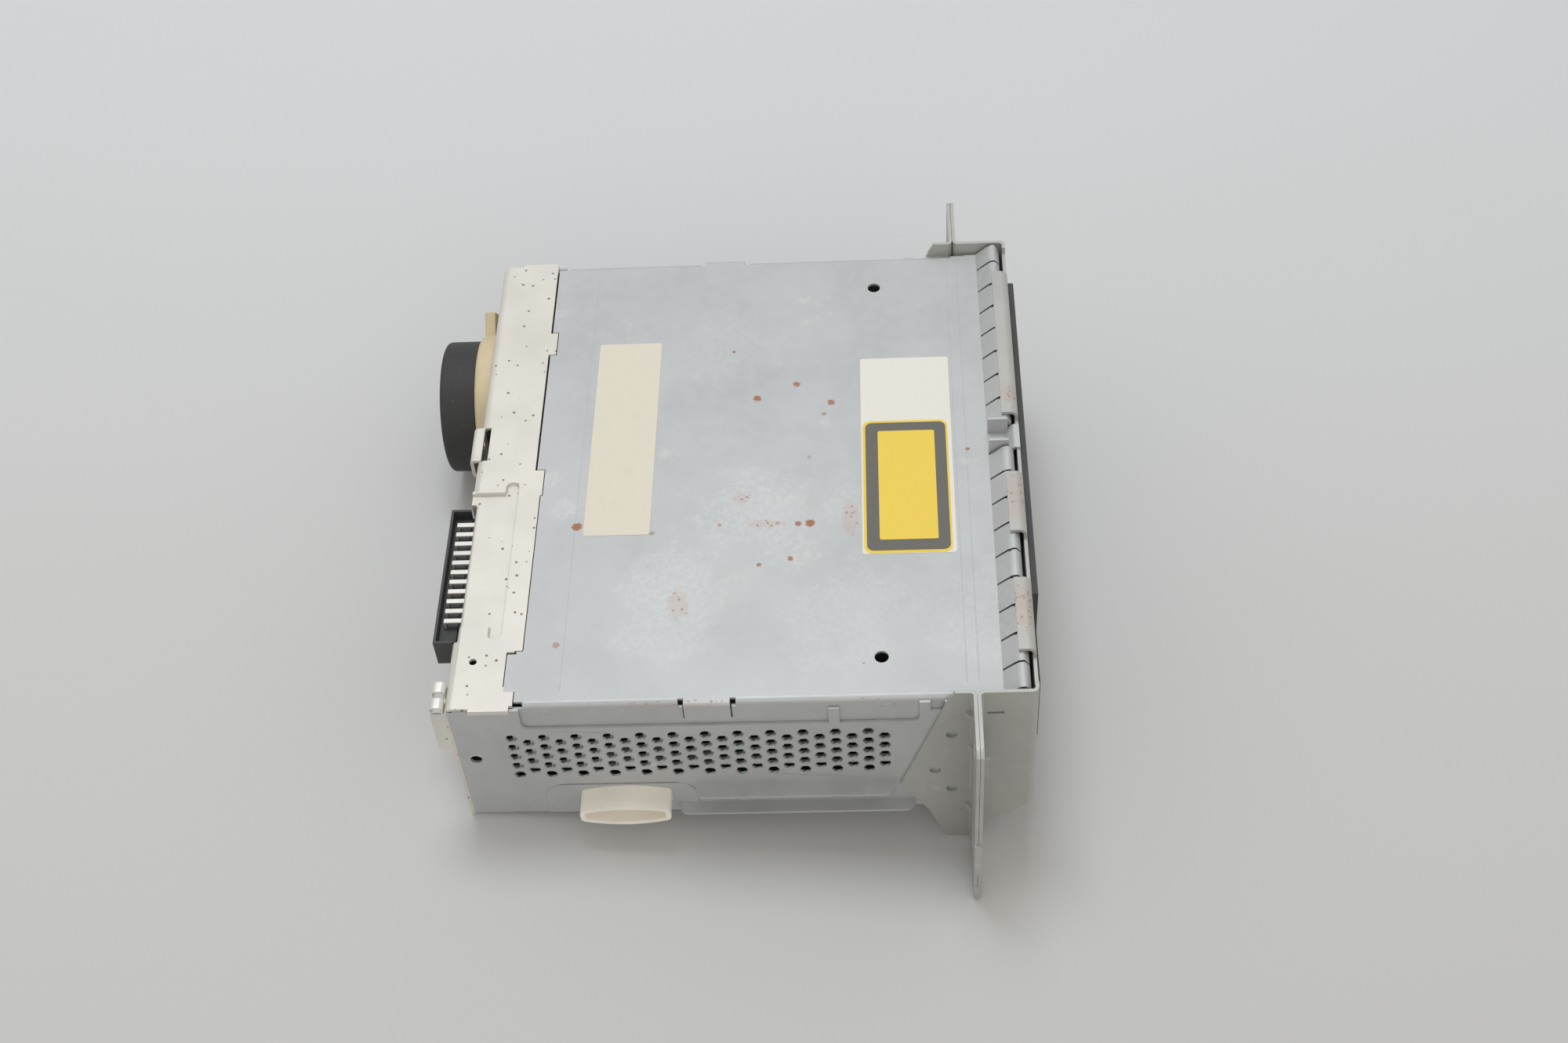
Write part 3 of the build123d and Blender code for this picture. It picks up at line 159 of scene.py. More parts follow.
def length_property(name, description, default):
    return FloatProperty(
        name=name, description=description, default=default, unit="LENGTH", subtype="DISTANCE"
    )


class PlayerColours(bpy.types.PropertyGroup):
    """Base colours of the finishes, linear."""

    zinc: colour_property("Zinc", "Matt plated steel of tray and cover", (0.505, 0.518, 0.530))
    bloom: colour_property("Zinc bloom", "White bloom on the plating", (0.72, 0.73, 0.72))
    tin: colour_property("Tin", "Warm bright steel of the rear panel", (0.76, 0.735, 0.68))
    bracket: colour_property("Bracket", "Plated steel of the front bracket", (0.47, 0.472, 0.452))
    rust: colour_property("Rust", "Brown rust freckles", (0.38, 0.135, 0.045))
    pink: colour_property("Pink rust", "Thin pinkish rust film", (0.52, 0.34, 0.27))
    cream: colour_property("Cream nylon", "Yellowed buffer hub", (0.66, 0.56, 0.37))
    nylon: colour_property("White nylon", "Guide shoes", (0.97, 0.92, 0.85))
    rubber: colour_property("Rubber", "Buffer ring and grommets", (0.042, 0.042, 0.043))
    plastic: colour_property("Black plastic", "Bezel and connector", (0.05, 0.051, 0.053))
    contact: colour_property("Contact", "Tinned contacts and clip", (0.78, 0.76, 0.71))
    sticker: colour_property("Sticker", "Blank cream sticker", (0.76, 0.725, 0.625))
    white_sticker: colour_property("White sticker", "Ground of the panel", (0.83, 0.82, 0.77))
    panel: colour_property("Sticker panel", "Yellow panel", (0.89, 0.66, 0.085))
    panel_frame: colour_property("Panel frame", "Dark frame of the panel", (0.13, 0.127, 0.115))
    floor: colour_property("Floor", "Table top", (0.66, 0.68, 0.71))
    backdrop: colour_property("Backdrop", "Pale ground behind the table", (0.72, 0.745, 0.77))


class PlayerSizes(bpy.types.PropertyGroup):
    """Sizes of the dressing, in metres."""

    sticker_thick: length_property("Sticker", "Thickness of a sticker", 0.00012)
    edge_round: length_property("Edge round", "Rounding of cut sheet edges", 0.00010)
    floor_size: length_property("Floor", "Half width of the table top", 3.0)
    lamp_height: length_property("Lamp height", "Height of the main lamp", 1.5)
    lens: FloatProperty(name="Lens", description="Focal length, mm", default=50.35, min=10.0)


def colours():
    return bpy.context.scene.player_colours


def sizes():
    return bpy.context.scene.player_sizes


# Materials

class Channel:
    """A number on a socket. Python's operators on it add the Math nodes."""

    def __init__(self, finish, socket):
        self.finish = finish
        self.socket = socket

    def math(self, operation, *values):
        return self.finish.math(operation, self, *values)

    def __add__(self, other):
        return self.math("ADD", other)

    __radd__ = __add__

    def __mul__(self, other):
        return self.math("MULTIPLY", other)

    __rmul__ = __mul__

    def __sub__(self, other):
        return self.math("SUBTRACT", other)

    def __rsub__(self, other):
        return self.finish.math("SUBTRACT", other, self)


class Finish:
    """One procedural material, whose patterns read Object coordinates in metres."""

    def __init__(self, name, **constants):
        plain = bpy.data.materials.get(name)
        if plain is not None:
            plain.name = name + "_cad"
        self.material = bpy.data.materials.new(name)
        self.material.use_nodes = True
        self.tree = self.material.node_tree
        self.shader = self.tree.nodes["Principled BSDF"]
        for socket, value in constants.items():
            self.shader.inputs[socket.replace("_", " ")].default_value = value
        self.place = self.add("ShaderNodeTexCoord", output="Object")

    def add(self, kind, settings=None, inputs=None, output=0):
        """Adds a node, sets it up, feeds its sockets and gives one of its outputs."""
        node = self.tree.nodes.new(kind)
        for name, value in (settings or {}).items():
            setattr(node, name, value)
        for key, value in (inputs or {}).items():
            self.feed(node.inputs[key], value)
        return Channel(self, node.outputs[output])

    def feed(self, socket, value):
        if isinstance(value, Channel):
            self.tree.links.new(value.socket, socket)
        elif isinstance(value, (tuple, list)) and len(value) == 3 and socket.type == "RGBA":
            socket.default_value = (*value, 1.0)
        else:
            socket.default_value = value

    def math(self, operation, *values):
        return self.add("ShaderNodeMath", {"operation": operation}, dict(enumerate(values)))

    def vector(self, operation, *values):
        return self.add("ShaderNodeVectorMath", {"operation": operation}, dict(enumerate(values)))

    def moved(self, stretch=(1, 1, 1), seed=0.0):
        """Object coordinates drawn out along an axis and shifted to another part of the pattern."""
        shift = (seed * 1.37, seed * -0.71, seed * 0.53)
        scale = [1 / s for s in stretch]
        inputs = {"Vector": self.place, "Location": shift, "Scale": scale}
        return self.add("ShaderNodeMapping", inputs=inputs)

    def noise(self, size, detail=2.0, rough=0.5, stretch=(1, 1, 1), seed=0.0):
        """Clouds about size metres across, from 0 to 1."""
        inputs = {"Vector": self.moved(stretch, seed), "Scale": 1 / size}
        inputs.update({"Detail": detail, "Roughness": rough})
        return self.add("ShaderNodeTexNoise", inputs=inputs)

    def cells(self, size, seed=0.0, stretch=(1, 1, 1)):
        """Distance to the nearest scattered point in cell widths, and a random number per cell."""
        inputs = {"Vector": self.moved(stretch, seed), "Scale": 1 / size}
        distance = self.add("ShaderNodeTexVoronoi", inputs=inputs, output="Distance")
        colour = Channel(self, distance.socket.node.outputs["Color"])
        return distance, self.add("ShaderNodeSeparateColor", inputs={"Color": colour})

    def band(self, value, low, high):
        """0 below low and 1 above high, smooth between."""
        settings = {"interpolation_type": "SMOOTHSTEP", "clamp": True}
        inputs = {"Value": value, "From Min": low, "From Max": high}
        return self.add("ShaderNodeMapRange", settings, inputs)

    def specks(self, size, radius, share, seed=0.0):
        """Scattered spots: cell size in metres, spot radius, share of the cells that have one."""
        distance, chance = self.cells(size, seed)
        wobble = self.noise(size * 0.4, 2.0, seed=seed + 3)
        edge = distance + (wobble - 0.5) * (radius * 0.9)
        return self.band(edge, radius, radius * 0.6) * self.band(chance, 1 - share, 1 - share * 0.9)

    def spot(self, centre, radius, ragged=0.6, stretch=(1, 1, 1)):
        """A ragged stain round a place."""
        away = self.vector("SUBTRACT", self.place, centre)
        radii = self.vector("DIVIDE", away, [share * radius for share in stretch])
        distance = self.add("ShaderNodeVectorMath", {"operation": "LENGTH"}, {0: radii}, "Value")
        wobble = self.noise(radius * 0.5, 4.0, 0.65, seed=centre[0] * 50)
        return self.band(distance + (wobble - 0.5) * (2 * ragged), 1.0, 0.55)

    def mix(self, share, first, second):
        """One colour over another."""
        settings = {"data_type": "RGBA", "clamp_factor": True}
        return self.add("ShaderNodeMix", settings, {0: share, 6: first, 7: second}, 2)

    def bump(self, height, depth, strength=1.0):
        """Height from 0 to 1 standing depth metres proud."""
        inputs = {"Strength": strength, "Distance": depth, "Height": height}
        normal = self.add("ShaderNodeBump", inputs=inputs, output="Normal")
        self.feed(self.shader.inputs["Normal"], normal)

    def shade(self, colour=None, roughness=None, metallic=None):
        values = {"Base Color": colour, "Roughness": roughness, "Metallic": metallic}
        for name, value in values.items():
            if value is not None:
                self.feed(self.shader.inputs[name], value)
        return self.material


def scaled(colour, amount):
    return tuple(min(1.0, channel * amount) for channel in colour)


def plated_steel(
    name, base, stains=(), seed=0.0, rust_share=0.10, bloom_amount=0.55, blooms=(), fields=()
):
    """Matt zinc plating: grain, cloudy tone, white bloom, rust spots, pink freckled fields."""
    c = colours()
    f = Finish(name)
    cloud = f.noise(0.035, 4.0, 0.55, seed=seed)
    grain = f.noise(0.0009, 3.0, 0.6, (5, 1, 1), seed + 1)
    mottle = f.noise(0.004, 5.0, 0.6, seed=seed + 2)
    bloom = f.band(f.noise(0.014, 5.0, 0.62, seed=seed + 4), 0.60, 0.78)
    rust = f.specks(0.013, 0.055, rust_share, seed + 5)
    dust = f.specks(0.0032, 0.085, 0.22, seed + 6)
    for place, radius, strength in stains:
        rust = rust.math("MAXIMUM", f.spot(place, radius) * strength)
    tone = f.mix(f.band(cloud, 0.3, 0.7), scaled(base, 0.93), scaled(base, 1.04))
    tone = f.mix(f.band(mottle, 0.35, 0.75) * 0.45, tone, scaled(base, 1.10))
    tone = f.mix(bloom * bloom_amount, tone, c.bloom[:])
    if blooms:
        patch = f.noise(0.0017, 5.0, 0.75, seed=seed + 8)
        cover = patch * 0.0
        for place, radius, strength in blooms:
            cover = cover.math("MAXIMUM", f.spot(place, radius * 1.3, 1.1) * strength)
        tone = f.mix(cover * (f.band(patch, 0.36, 0.70) * 0.55), tone, c.bloom[:])
    tone = f.mix(dust * 0.35, tone, scaled(base, 0.72))
    tone = f.mix(rust * 0.85, tone, c.rust[:])
    if fields:
        freckle = f.specks(0.0013, 0.40, 0.6, seed + 9)
        spread = freckle * 0.0
        for place, radius, stretch in fields:
            spread = spread.math("MAXIMUM", f.spot(place, radius, 0.7, stretch))
        tone = f.mix(spread * 0.26, tone, c.pink[:])
        tone = f.mix(spread * freckle * 0.75, tone, scaled(c.pink[:], 0.62))
    f.bump(grain * 0.6 + mottle * 0.4, 0.00002, 0.35)
    rough = 0.46 + f.band(mottle, 0.2, 0.8) * 0.10 + bloom * 0.16 + rust * 0.3
    return f.shade(tone, rough, 0.35 - rust * 0.3 - bloom * 0.15)


def tinned(name, base, rough=0.42, metallic=0.35, speck_share=0.5, seed=0.0):
    """Bright warm tin: fine drawn lines, soft clouds and brown specks."""
    c = colours()
    f = Finish(name)
    lines = f.noise(0.0011, 2.0, 0.5, (1, 9, 1), seed)
    cloud = f.noise(0.018, 4.0, 0.55, seed=seed + 1)
    specks = f.specks(0.0034, 0.15, speck_share * 1.5, seed + 2)
    blotch = f.specks(0.011, 0.10, speck_share * 0.5, seed + 4)
    tone = f.mix(f.band(cloud, 0.3, 0.7), scaled(base, 0.95), scaled(base, 1.04))
    tone = f.mix(specks * 0.85, tone, (0.13, 0.085, 0.05))
    tone = f.mix(blotch * 0.6, tone, (0.40, 0.33, 0.18))
    f.bump(lines * 0.4 + cloud * 2.0, 0.00005, 0.3)
    return f.shade(tone, rough + cloud * 0.14 + specks * 0.2, metallic - specks * 0.5)


def moulded(name, base, rough=0.5, grain=0.0005, depth=0.00003, shift=0.10, seed=0.0):
    """Moulded plastic: fine eroded texture, slight flow clouds and pale scuffs."""
    f = Finish(name)
    texture = f.noise(grain, 3.0, 0.6, seed=seed)
    cloud = f.noise(0.012, 3.0, seed=seed + 1)
    scuff = f.band(f.noise(0.004, 5.0, 0.7, (4, 1, 1), seed + 2), 0.64, 0.74)
    tone = f.mix(f.band(cloud, 0.3, 0.7), scaled(base, 1 - shift), scaled(base, 1 + shift))
    tone = f.mix(scuff * 0.25, tone, scaled(base, 1.5))
    f.bump(texture, depth, 0.5)
    return f.shade(tone, rough + texture * 0.12 + scuff * 0.08)


def rubber_finish(name, base, seed=0.0):
    """Matt rubber with grey rub marks and dust."""
    f = Finish(name, Specular_IOR_Level=0.35)
    fine = f.noise(0.0007, 4.0, 0.6, seed=seed)
    rub = f.band(f.noise(0.006, 6.0, 0.7, seed=seed + 1), 0.56, 0.72)
    dust, chance = f.cells(0.0016, seed + 2)
    dot = f.band(dust, 0.14, 0.06) * f.band(chance, 0.8, 0.85)
    tone = f.mix(fine, scaled(base, 0.85), scaled(base, 1.15))
    tone = f.mix(rub * 0.45, tone, scaled(base, 2.1))
    tone = f.mix(dot * 0.5, tone, (0.35, 0.34, 0.32))
    f.bump(fine, 0.00006, 0.5)
    return f.shade(tone, 0.62 + rub * 0.15)


def paper(name, base, seed=0.0, soil=0.10):
    """Coated label paper: faint fibre, soft waves and a little soiling."""
    f = Finish(name)
    fibre = f.noise(0.0005, 3.0, 0.6, seed=seed)
    wave = f.noise(0.02, 2.0, seed=seed + 1)
    stain = f.band(f.noise(0.008, 5.0, 0.65, seed=seed + 2), 0.58, 0.8)
    tone = f.mix(fibre, scaled(base, 0.98), scaled(base, 1.02))
    tone = f.mix(stain * soil, tone, scaled(base, 0.75))
    f.bump(wave * 0.8 + fibre * 0.05, 0.00025, 0.3)
    return f.shade(tone, 0.48 + stain * 0.1)


def machined(name, base, rough=0.22, axis_stretch=(1, 1, 1), seed=0.0):
    """Ground or turned bright metal with fine rings or lines."""
    f = Finish(name)
    line = f.noise(0.0004, 2.0, 0.5, axis_stretch, seed)
    cloud = f.noise(0.01, 3.0, seed=seed + 1)
    tone = f.mix(cloud, scaled(base, 0.94), scaled(base, 1.05))
    f.bump(line, 0.000006, 0.4)
    return f.shade(tone, rough + line * 0.1 + cloud * 0.06, 0.95)


def board_finish(name):
    """Green solder mask with copper tracks under it, silk-screened pads and flux haze."""
    f = Finish(name)
    distance, chance = f.cells(0.0045, 2.0, (3, 1, 1))
    track = f.band(distance, 0.50, 0.46)
    pad_distance, pad_chance = f.cells(0.0065, 7.0)
    pad = f.band(pad_distance, 0.16, 0.13) * f.band(pad_chance, 0.55, 0.58)
    haze = f.noise(0.02, 3.0, seed=4)
    tone = f.mix(track, (0.012, 0.075, 0.035), (0.022, 0.14, 0.06))
    tone = f.mix(pad, tone, (0.55, 0.53, 0.46))
    f.bump(track * 0.4 + pad, 0.00005, 0.5)
    return f.shade(tone, 0.32 + haze * 0.15, pad * 0.7)


def felt_finish(name):
    """Short black pile."""
    f = Finish(name, Sheen_Weight=0.5, Sheen_Roughness=0.6)
    pile = f.noise(0.0003, 4.0, 0.7, (1, 1, 3))
    tone = f.mix(pile, (0.010, 0.010, 0.011), (0.035, 0.035, 0.037))
    f.bump(pile, 0.0002, 0.8)
    return f.shade(tone, 0.9)


def lens_finish(name):
    """Coated objective lens: deep violet-blue with a bright rim reflection."""
    f = Finish(name, Coat_Weight=1.0, Coat_Roughness=0.03)
    depth = f.noise(0.002, 2.0)
    tone = f.mix(depth, (0.02, 0.03, 0.10), (0.05, 0.03, 0.14))
    return f.shade(tone, 0.08 + depth * 0.04)


# Mesh helpers

def pick(obj):
    """Makes one object the only selected and active one."""
    bpy.ops.object.select_all(action="DESELECT")
    obj.select_set(True)
    bpy.context.view_layer.objects.active = obj


def edit(obj):
    pick(obj)
    bpy.ops.object.mode_set(mode="EDIT")
    bpy.ops.mesh.select_mode(type="VERT")
    return bmesh.from_edit_mesh(obj.data)


def leave():
    bpy.ops.object.mode_set(mode="OBJECT")


def choose(obj, kind, wanted):
    """In edit mode, selects just the edges or faces that pass a test."""
    bpy.ops.mesh.select_all(action="DESELECT")
    bpy.ops.mesh.select_mode(type=kind)
    mesh = bmesh.from_edit_mesh(obj.data)
    for item in mesh.edges if kind == "EDGE" else mesh.faces:
        item.select_set(wanted(item))
    bmesh.update_edit_mesh(obj.data)


def apply_place():
    bpy.ops.object.transform_apply(location=True, rotation=True, scale=True)


def welded_copy(node, name):
    """A copy of a CAD node with its loose triangles welded."""
    obj = nodes[node].copy()
    obj.data = nodes[node].data.copy()
    obj.name = name
    obj.data.name = name
    for key in list(obj.keys()):
        del obj[key]
    obj.parent = None
    bpy.context.scene.collection.objects.link(obj)
    pick(obj)
    bpy.ops.mesh.customdata_custom_splitnormals_clear()
    edit(obj)
    bpy.ops.mesh.select_all(action="SELECT")
    bpy.ops.mesh.remove_doubles(threshold=WELD)
    leave()
    return obj


def modify(obj, kind, **settings):
    """Adds a modifier and applies it."""
    pick(obj)
    modifier = obj.modifiers.new(kind.title(), kind)
    for name, value in settings.items():
        setattr(modifier, name, value)
    bpy.ops.object.modifier_apply(modifier=modifier.name)


def round_edges(obj, width, angle=50, segments=1):
    modify(
        obj, "BEVEL", width=width, segments=segments, limit_method="ANGLE",
        angle_limit=math.radians(angle), use_clamp_overlap=True,
    )


def subtract(obj, cutter):
    modify(obj, "BOOLEAN", operation="DIFFERENCE", object=cutter, solver="EXACT")
    bpy.data.objects.remove(cutter)


def settle(obj, slot, material=None, replaced=(), smooth=35):
    """Puts a finished piece's place into its mesh, gives it its finish and lets it ride."""
    pick(obj)
    apply_place()
    obj.data.materials.clear()
    obj.data.materials.append(material or bpy.data.materials[slot])
    bpy.ops.object.shade_smooth_by_angle(angle=math.radians(smooth))
    modify(obj, "WEIGHTED_NORMAL", keep_sharp=True, weight=90)
    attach(obj, BODY)
    if replaced:
        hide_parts(*replaced)


def box_between(name, low, high):
    """Plain box between two corners in the scene."""
    bpy.ops.mesh.primitive_cube_add(size=1, location=(low + high) / 2)
    box = bpy.context.active_object
    box.name = name
    box.scale = high - low
    apply_place()
    return box


def rounded_plate(name, low, high, corner, segments=5):
    """Flat plate between two corners in the scene, with rounded upright edges."""
    def upright(edge):
        first, second = edge.verts
        return abs(first.co.z - second.co.z) > WELD

    plate = box_between(name, low, high)
    edit(plate)
    choose(plate, "EDGE", upright)
    bpy.ops.mesh.bevel(offset=corner, segments=segments)
    leave()
    return plate


def drill(obj, centres, radius, length, sides=14):
    """Cuts round holes across the case."""
    bar = {"vertices": sides, "radius": radius, "depth": length, "rotation": (math.pi / 2, 0, 0)}
    bpy.ops.mesh.primitive_cylinder_add(location=centres[0], **bar)
    drills = bpy.context.active_object
    apply_place()
    edit(drills)
    for centre in centres[1:]:
        bpy.ops.mesh.primitive_cylinder_add(location=centre, **bar)
    leave()
    subtract(obj, drills)


def slide(obj, low, high, shift):
    """Moves the vertices between two corners, on both sides of the case, along x."""
    mesh = edit(obj)
    low, high = at(*low), at(*high)
    for vertex in mesh.verts:
        x, y, z = vertex.co
        if low.x < x < high.x and low.y < abs(y) < high.y and low.z < z < high.z:
            vertex.co.x += shift * MM
    bmesh.update_edit_mesh(obj.data)
    leave()


def cut_away(obj, low, high):
    """Takes everything between two corners off a piece."""
    subtract(obj, box_between("cutter", at(*low), at(*high)))


def round_bar(name, rear, front, radius, sides):
    """Cylinder about the buffer's axis between two places along x."""
    bpy.ops.mesh.primitive_cylinder_add(
        vertices=sides, radius=radius * MM, depth=(front - rear) * MM,
        location=at((rear + front) / 2, BUFFER_Y, BUFFER_Z), rotation=(0, math.pi / 2, 0),
    )
    bar = bpy.context.active_object
    bar.name = name
    apply_place()
    return bar


def bevel_rim(obj, x, radius, width, segments):
    """Rounds the circular edges at a place along x and about a radius of the buffer's axis."""
    plane = at(x, 0, 0).x
    axis = at(0, BUFFER_Y, BUFFER_Z)

    def on_rim(edge):
        places = [vertex.co for vertex in edge.verts]
        flat = all(abs(place.x - plane) < WELD for place in places)
        distances = [math.hypot(place.y - axis.y, place.z - axis.z) / MM for place in places]
        return flat and all(abs(distance - radius) < 0.05 for distance in distances)

    edit(obj)
    choose(obj, "EDGE", on_rim)
    bpy.ops.mesh.bevel(offset=width * MM, segments=segments)
    leave()


def sink_end(obj, x, rim, depth):
    """Insets the end face at a place along x and pushes its middle in."""
    plane = at(x, 0, 0).x

    def end(face):
        return abs(face.normal.x) > 0.99 and abs(face.calc_center_median().x - plane) < WELD

    edit(obj)
    choose(obj, "FACE", end)
    bpy.ops.mesh.inset(thickness=rim * MM, depth=0)
    bpy.ops.mesh.extrude_region_move(TRANSFORM_OT_translate={"value": (depth * MM, 0, 0)})
    leave()


def soften(node, name, slot, width, segments):
    """A CAD node with its sharp edges rounded by a width in millimetres."""
    piece = welded_copy(node, name)
    round_edges(piece, width * MM, 40, segments)
    settle(piece, slot, replaced=[node])


# Stage

class PLAYER_OT_stage(bpy.types.Operator):
    """Camera at the photograph's angle, a pale table and soft studio light"""

    bl_idname = "player.stage"
    bl_label = "Stage"

    def execute(self, context):
        slope = resting_slope()
        self.add_floor(slope)
        self.add_world(context.scene)
        self.add_lamps()
        self.add_camera(context.scene)
        return {"FINISHED"}

    def add_floor(self, slope):
        size = sizes().floor_size
        bpy.ops.mesh.primitive_circle_add(
            vertices=96, radius=size, fill_type="NGON", location=at(0, 0, 0),
            rotation=(0, slope, 0),
        )
        floor = bpy.context.active_object
        floor.name = "table_top"
        floor.data.materials.append(floor_finish())

    def add_world(self, scene):
        world = bpy.data.worlds.new("studio")
        scene.world = world
        world.use_nodes = True
        tree = world.node_tree
        tree.nodes.clear()
        light = tree.nodes.new("ShaderNodeBackground")
        light.inputs["Color"].default_value = (1.0, 0.95, 0.86, 1.0)
        light.inputs["Strength"].default_value = 0.56
        backdrop = tree.nodes.new("ShaderNodeBackground")
        backdrop.inputs["Color"].default_value = (*colours().backdrop, 1.0)
        backdrop.inputs["Strength"].default_value = 1.0
        ray = tree.nodes.new("ShaderNodeLightPath")
        mix = tree.nodes.new("ShaderNodeMixShader")
        output = tree.nodes.new("ShaderNodeOutputWorld")
        seen = ray.outputs["Is Camera Ray"]
        for kind in ("Is Glossy Ray", "Is Transmission Ray"):
            either = tree.nodes.new("ShaderNodeMath")
            either.operation = "MAXIMUM"
            tree.links.new(seen, either.inputs[0])
            tree.links.new(ray.outputs[kind], either.inputs[1])
            seen = either.outputs[0]
        tree.links.new(seen, mix.inputs["Fac"])
        tree.links.new(light.outputs[0], mix.inputs[1])
        tree.links.new(backdrop.outputs[0], mix.inputs[2])
        tree.links.new(mix.outputs[0], output.inputs["Surface"])

    def add_lamps(self):
        height = sizes().lamp_height
        lamps = (       # place, size, power and colour
            ("main_lamp", (-0.15, 0.36, height), 0.60, 8.3, (0.93, 0.97, 1.0)),
            ("near_lamp", (0.25, -1.4, 0.65 * height), 1.2, 3.4, (1.0, 0.95, 0.85)),
        )
        for name, place, size, power, colour in lamps:
            lamp = bpy.data.lights.new(name, "AREA")
            lamp.shape = "DISK"
            lamp.size = size
            lamp.energy = power
            lamp.color = colour
            obj = bpy.data.objects.new(name, lamp)
            obj.location = place
            obj.rotation_euler = (-Vector(place)).to_track_quat("-Z", "Y").to_euler()
            bpy.context.scene.collection.objects.link(obj)

    def add_camera(self, scene):
        camera = bpy.data.cameras.new("photo_view")
        camera.lens = sizes().lens
        camera.sensor_width = 36.0
        camera.clip_start = 0.02
        camera.clip_end = 50.0
        obj = bpy.data.objects.new("photo_view", camera)
        obj.location = CAMERA_PLACE
        obj.rotation_euler = [math.radians(angle) for angle in CAMERA_TURN]
        scene.collection.objects.link(obj)
        scene.camera = obj
        scene.view_settings.view_transform = "Standard"


def resting_slope():
    """Angle of the table: the case rests on its rear lower edge and on the feet of the bracket."""
    heel = at(0, 0, 0)
    steepest = 0.0
    for vertex in nodes["front_bracket"].data.vertices:
        run = vertex.co.x - heel.x
        steepest = max(steepest, (heel.z - vertex.co.z) / run)
    return math.atan(steepest)


def floor_finish():
    """Pale laminate with a faint cloud, and light falloff painted across the table: painted shade,
    darker and warmer, at the near side and painted light at the far side.
    """
    c = colours()
    f = Finish("floor", Specular_IOR_Level=0.3)
    parts = f.add("ShaderNodeSeparateXYZ", inputs={"Vector": f.place}, output="Y")
    # Painted light falloff: this band runs the floor colour from painted shade at the near side to
    # painted light at the far side.
    far = f.band(parts, -0.35, 0.45)
    cloud = f.noise(0.15, 2.0)
    # Painted shade colour for the near side and painted light colour for the far side.
    near_painted_shade, far_painted_light = (
        tuple(channel * share for channel, share in zip(c.floor, shares))
        for shares in ((0.88, 0.86, 0.82), (1.08, 1.1, 1.13))
    )
    tone = f.mix(far, near_painted_shade, far_painted_light)
    tone = f.mix(cloud * 0.06, tone, scaled(c.floor[:], 0.9))
    return f.shade(tone, 0.55 + cloud * 0.1)


# Finishes of the CAD nodes

class PLAYER_OT_finishes(bpy.types.Operator):
    """Gives every CAD node its procedural finish"""

    bl_idname = "player.finishes"
    bl_label = "Finishes"

    def execute(self, context):
        c = colours()
        looks = {
            "inner_steel": plated_steel(
                "inner_steel", (0.60, 0.62, 0.63), seed=11.0, rust_share=0.03, bloom_amount=0.2
            ),
            "zinc_steel": plated_steel(
                "zinc_steel", c.zinc[:], cover_stains(), 1.0, blooms=cover_blooms(),
                fields=cover_fields(),
            ),
            "tinned_steel": tinned("tinned_steel", scaled(c.tin[:], 0.94)),
            "bracket_steel": plated_steel(
                "bracket_steel", c.bracket[:], seed=7.0, rust_share=0.2, fields=curl_fields()
            ),
            "black_plastic": moulded("black_plastic", c.plastic[:]),
            "black_rubber": rubber_finish("black_rubber", c.rubber[:]),
            "cream_nylon": moulded("cream_nylon", c.cream[:], 0.42, 0.0015, 0.00002, 0.06, 3.0),
            "white_nylon": moulded("white_nylon", c.nylon[:], 0.38, 0.0012, 0.00002, 0.04, 5.0),
            "bright_contact": tinned("bright_contact", c.contact[:], 0.30, 0.55, 0.15, 9.0),
            "circuit_board": board_finish("circuit_board"),
            "component_black": moulded(
                "component_black", (0.018, 0.018, 0.019), 0.45, 0.0003, 0.00002, 0.1, 2.0
            ),
            "felt": felt_finish("felt"),
            "motor_can": machined("motor_can", (0.62, 0.63, 0.64), 0.28, (1, 8, 1), 4.0),
            "gear_plastic": moulded(
                "gear_plastic", (0.78, 0.78, 0.72), 0.35, 0.0008, 0.00001, 0.04, 6.0
            ),
            "polished_steel": machined("polished_steel", (0.70, 0.71, 0.72), 0.15, (6, 1, 1), 2.0),
            "lens_glass": lens_finish("lens_glass"),
            "can_aluminium": machined("can_aluminium", (0.70, 0.71, 0.73), 0.32, (1, 1, 6), 8.0),
        }
        for subpart in frame["record"]["subparts"]:
            mesh = nodes[subpart["node"]].data
            mesh.materials.clear()
            mesh.materials.append(looks[subpart["material_slot"]])
        return {"FINISHED"}


def placed(marks, z=CASE_TOP):
    """Marks with x, y and radius in the case frame, and a strength or a stretch."""
    return [(at(x, y, z), radius * MM, extra) for x, y, radius, extra in marks]


def cover_stains():
    """Rust spots on the cover: place, radius and strength."""
    marks = (
        (32.5, -23.8, 1.9, 1.0), (29.8, -67.4, 1.3, 0.5), (84.5, 26.4, 1.5, 1.0),
        (96.5, 31.9, 1.4, 0.9), (107.2, 23.8, 1.5, 0.9), (105.0, 19.0, 0.8, 0.7),
        (100.6, 1.4, 0.8, 0.4), (86.3, -39.9, 0.9, 0.8), (95.3, -37.8, 1.1, 0.9),
        (101.0, -24.6, 1.7, 1.0), (97.5, -24.7, 1.2, 0.9), (117.0, 41.0, 0.9, 0.7),
        (54.8, -27.0, 1.0, 0.5), (148.0, 3.0, 0.8, 0.9), (74.5, -24.5, 0.8, 0.5),
    )
    return placed(marks)


def cover_blooms():
    """White bloom on the cover: place, radius and strength."""
    marks = (
        (62, -45, 14, 0.6), (84, -18, 15, 0.6), (96, -34, 8, 0.5), (112, -17, 8, 0.5),
        (22.6, -4.4, 3, 0.8), (28.7, -17, 4, 0.8), (60, -62, 14, 0.45), (110, -60, 18, 0.35),
        (150, -60, 16, 0.35), (78, 50, 14, 0.3),
    )
    return placed(marks)


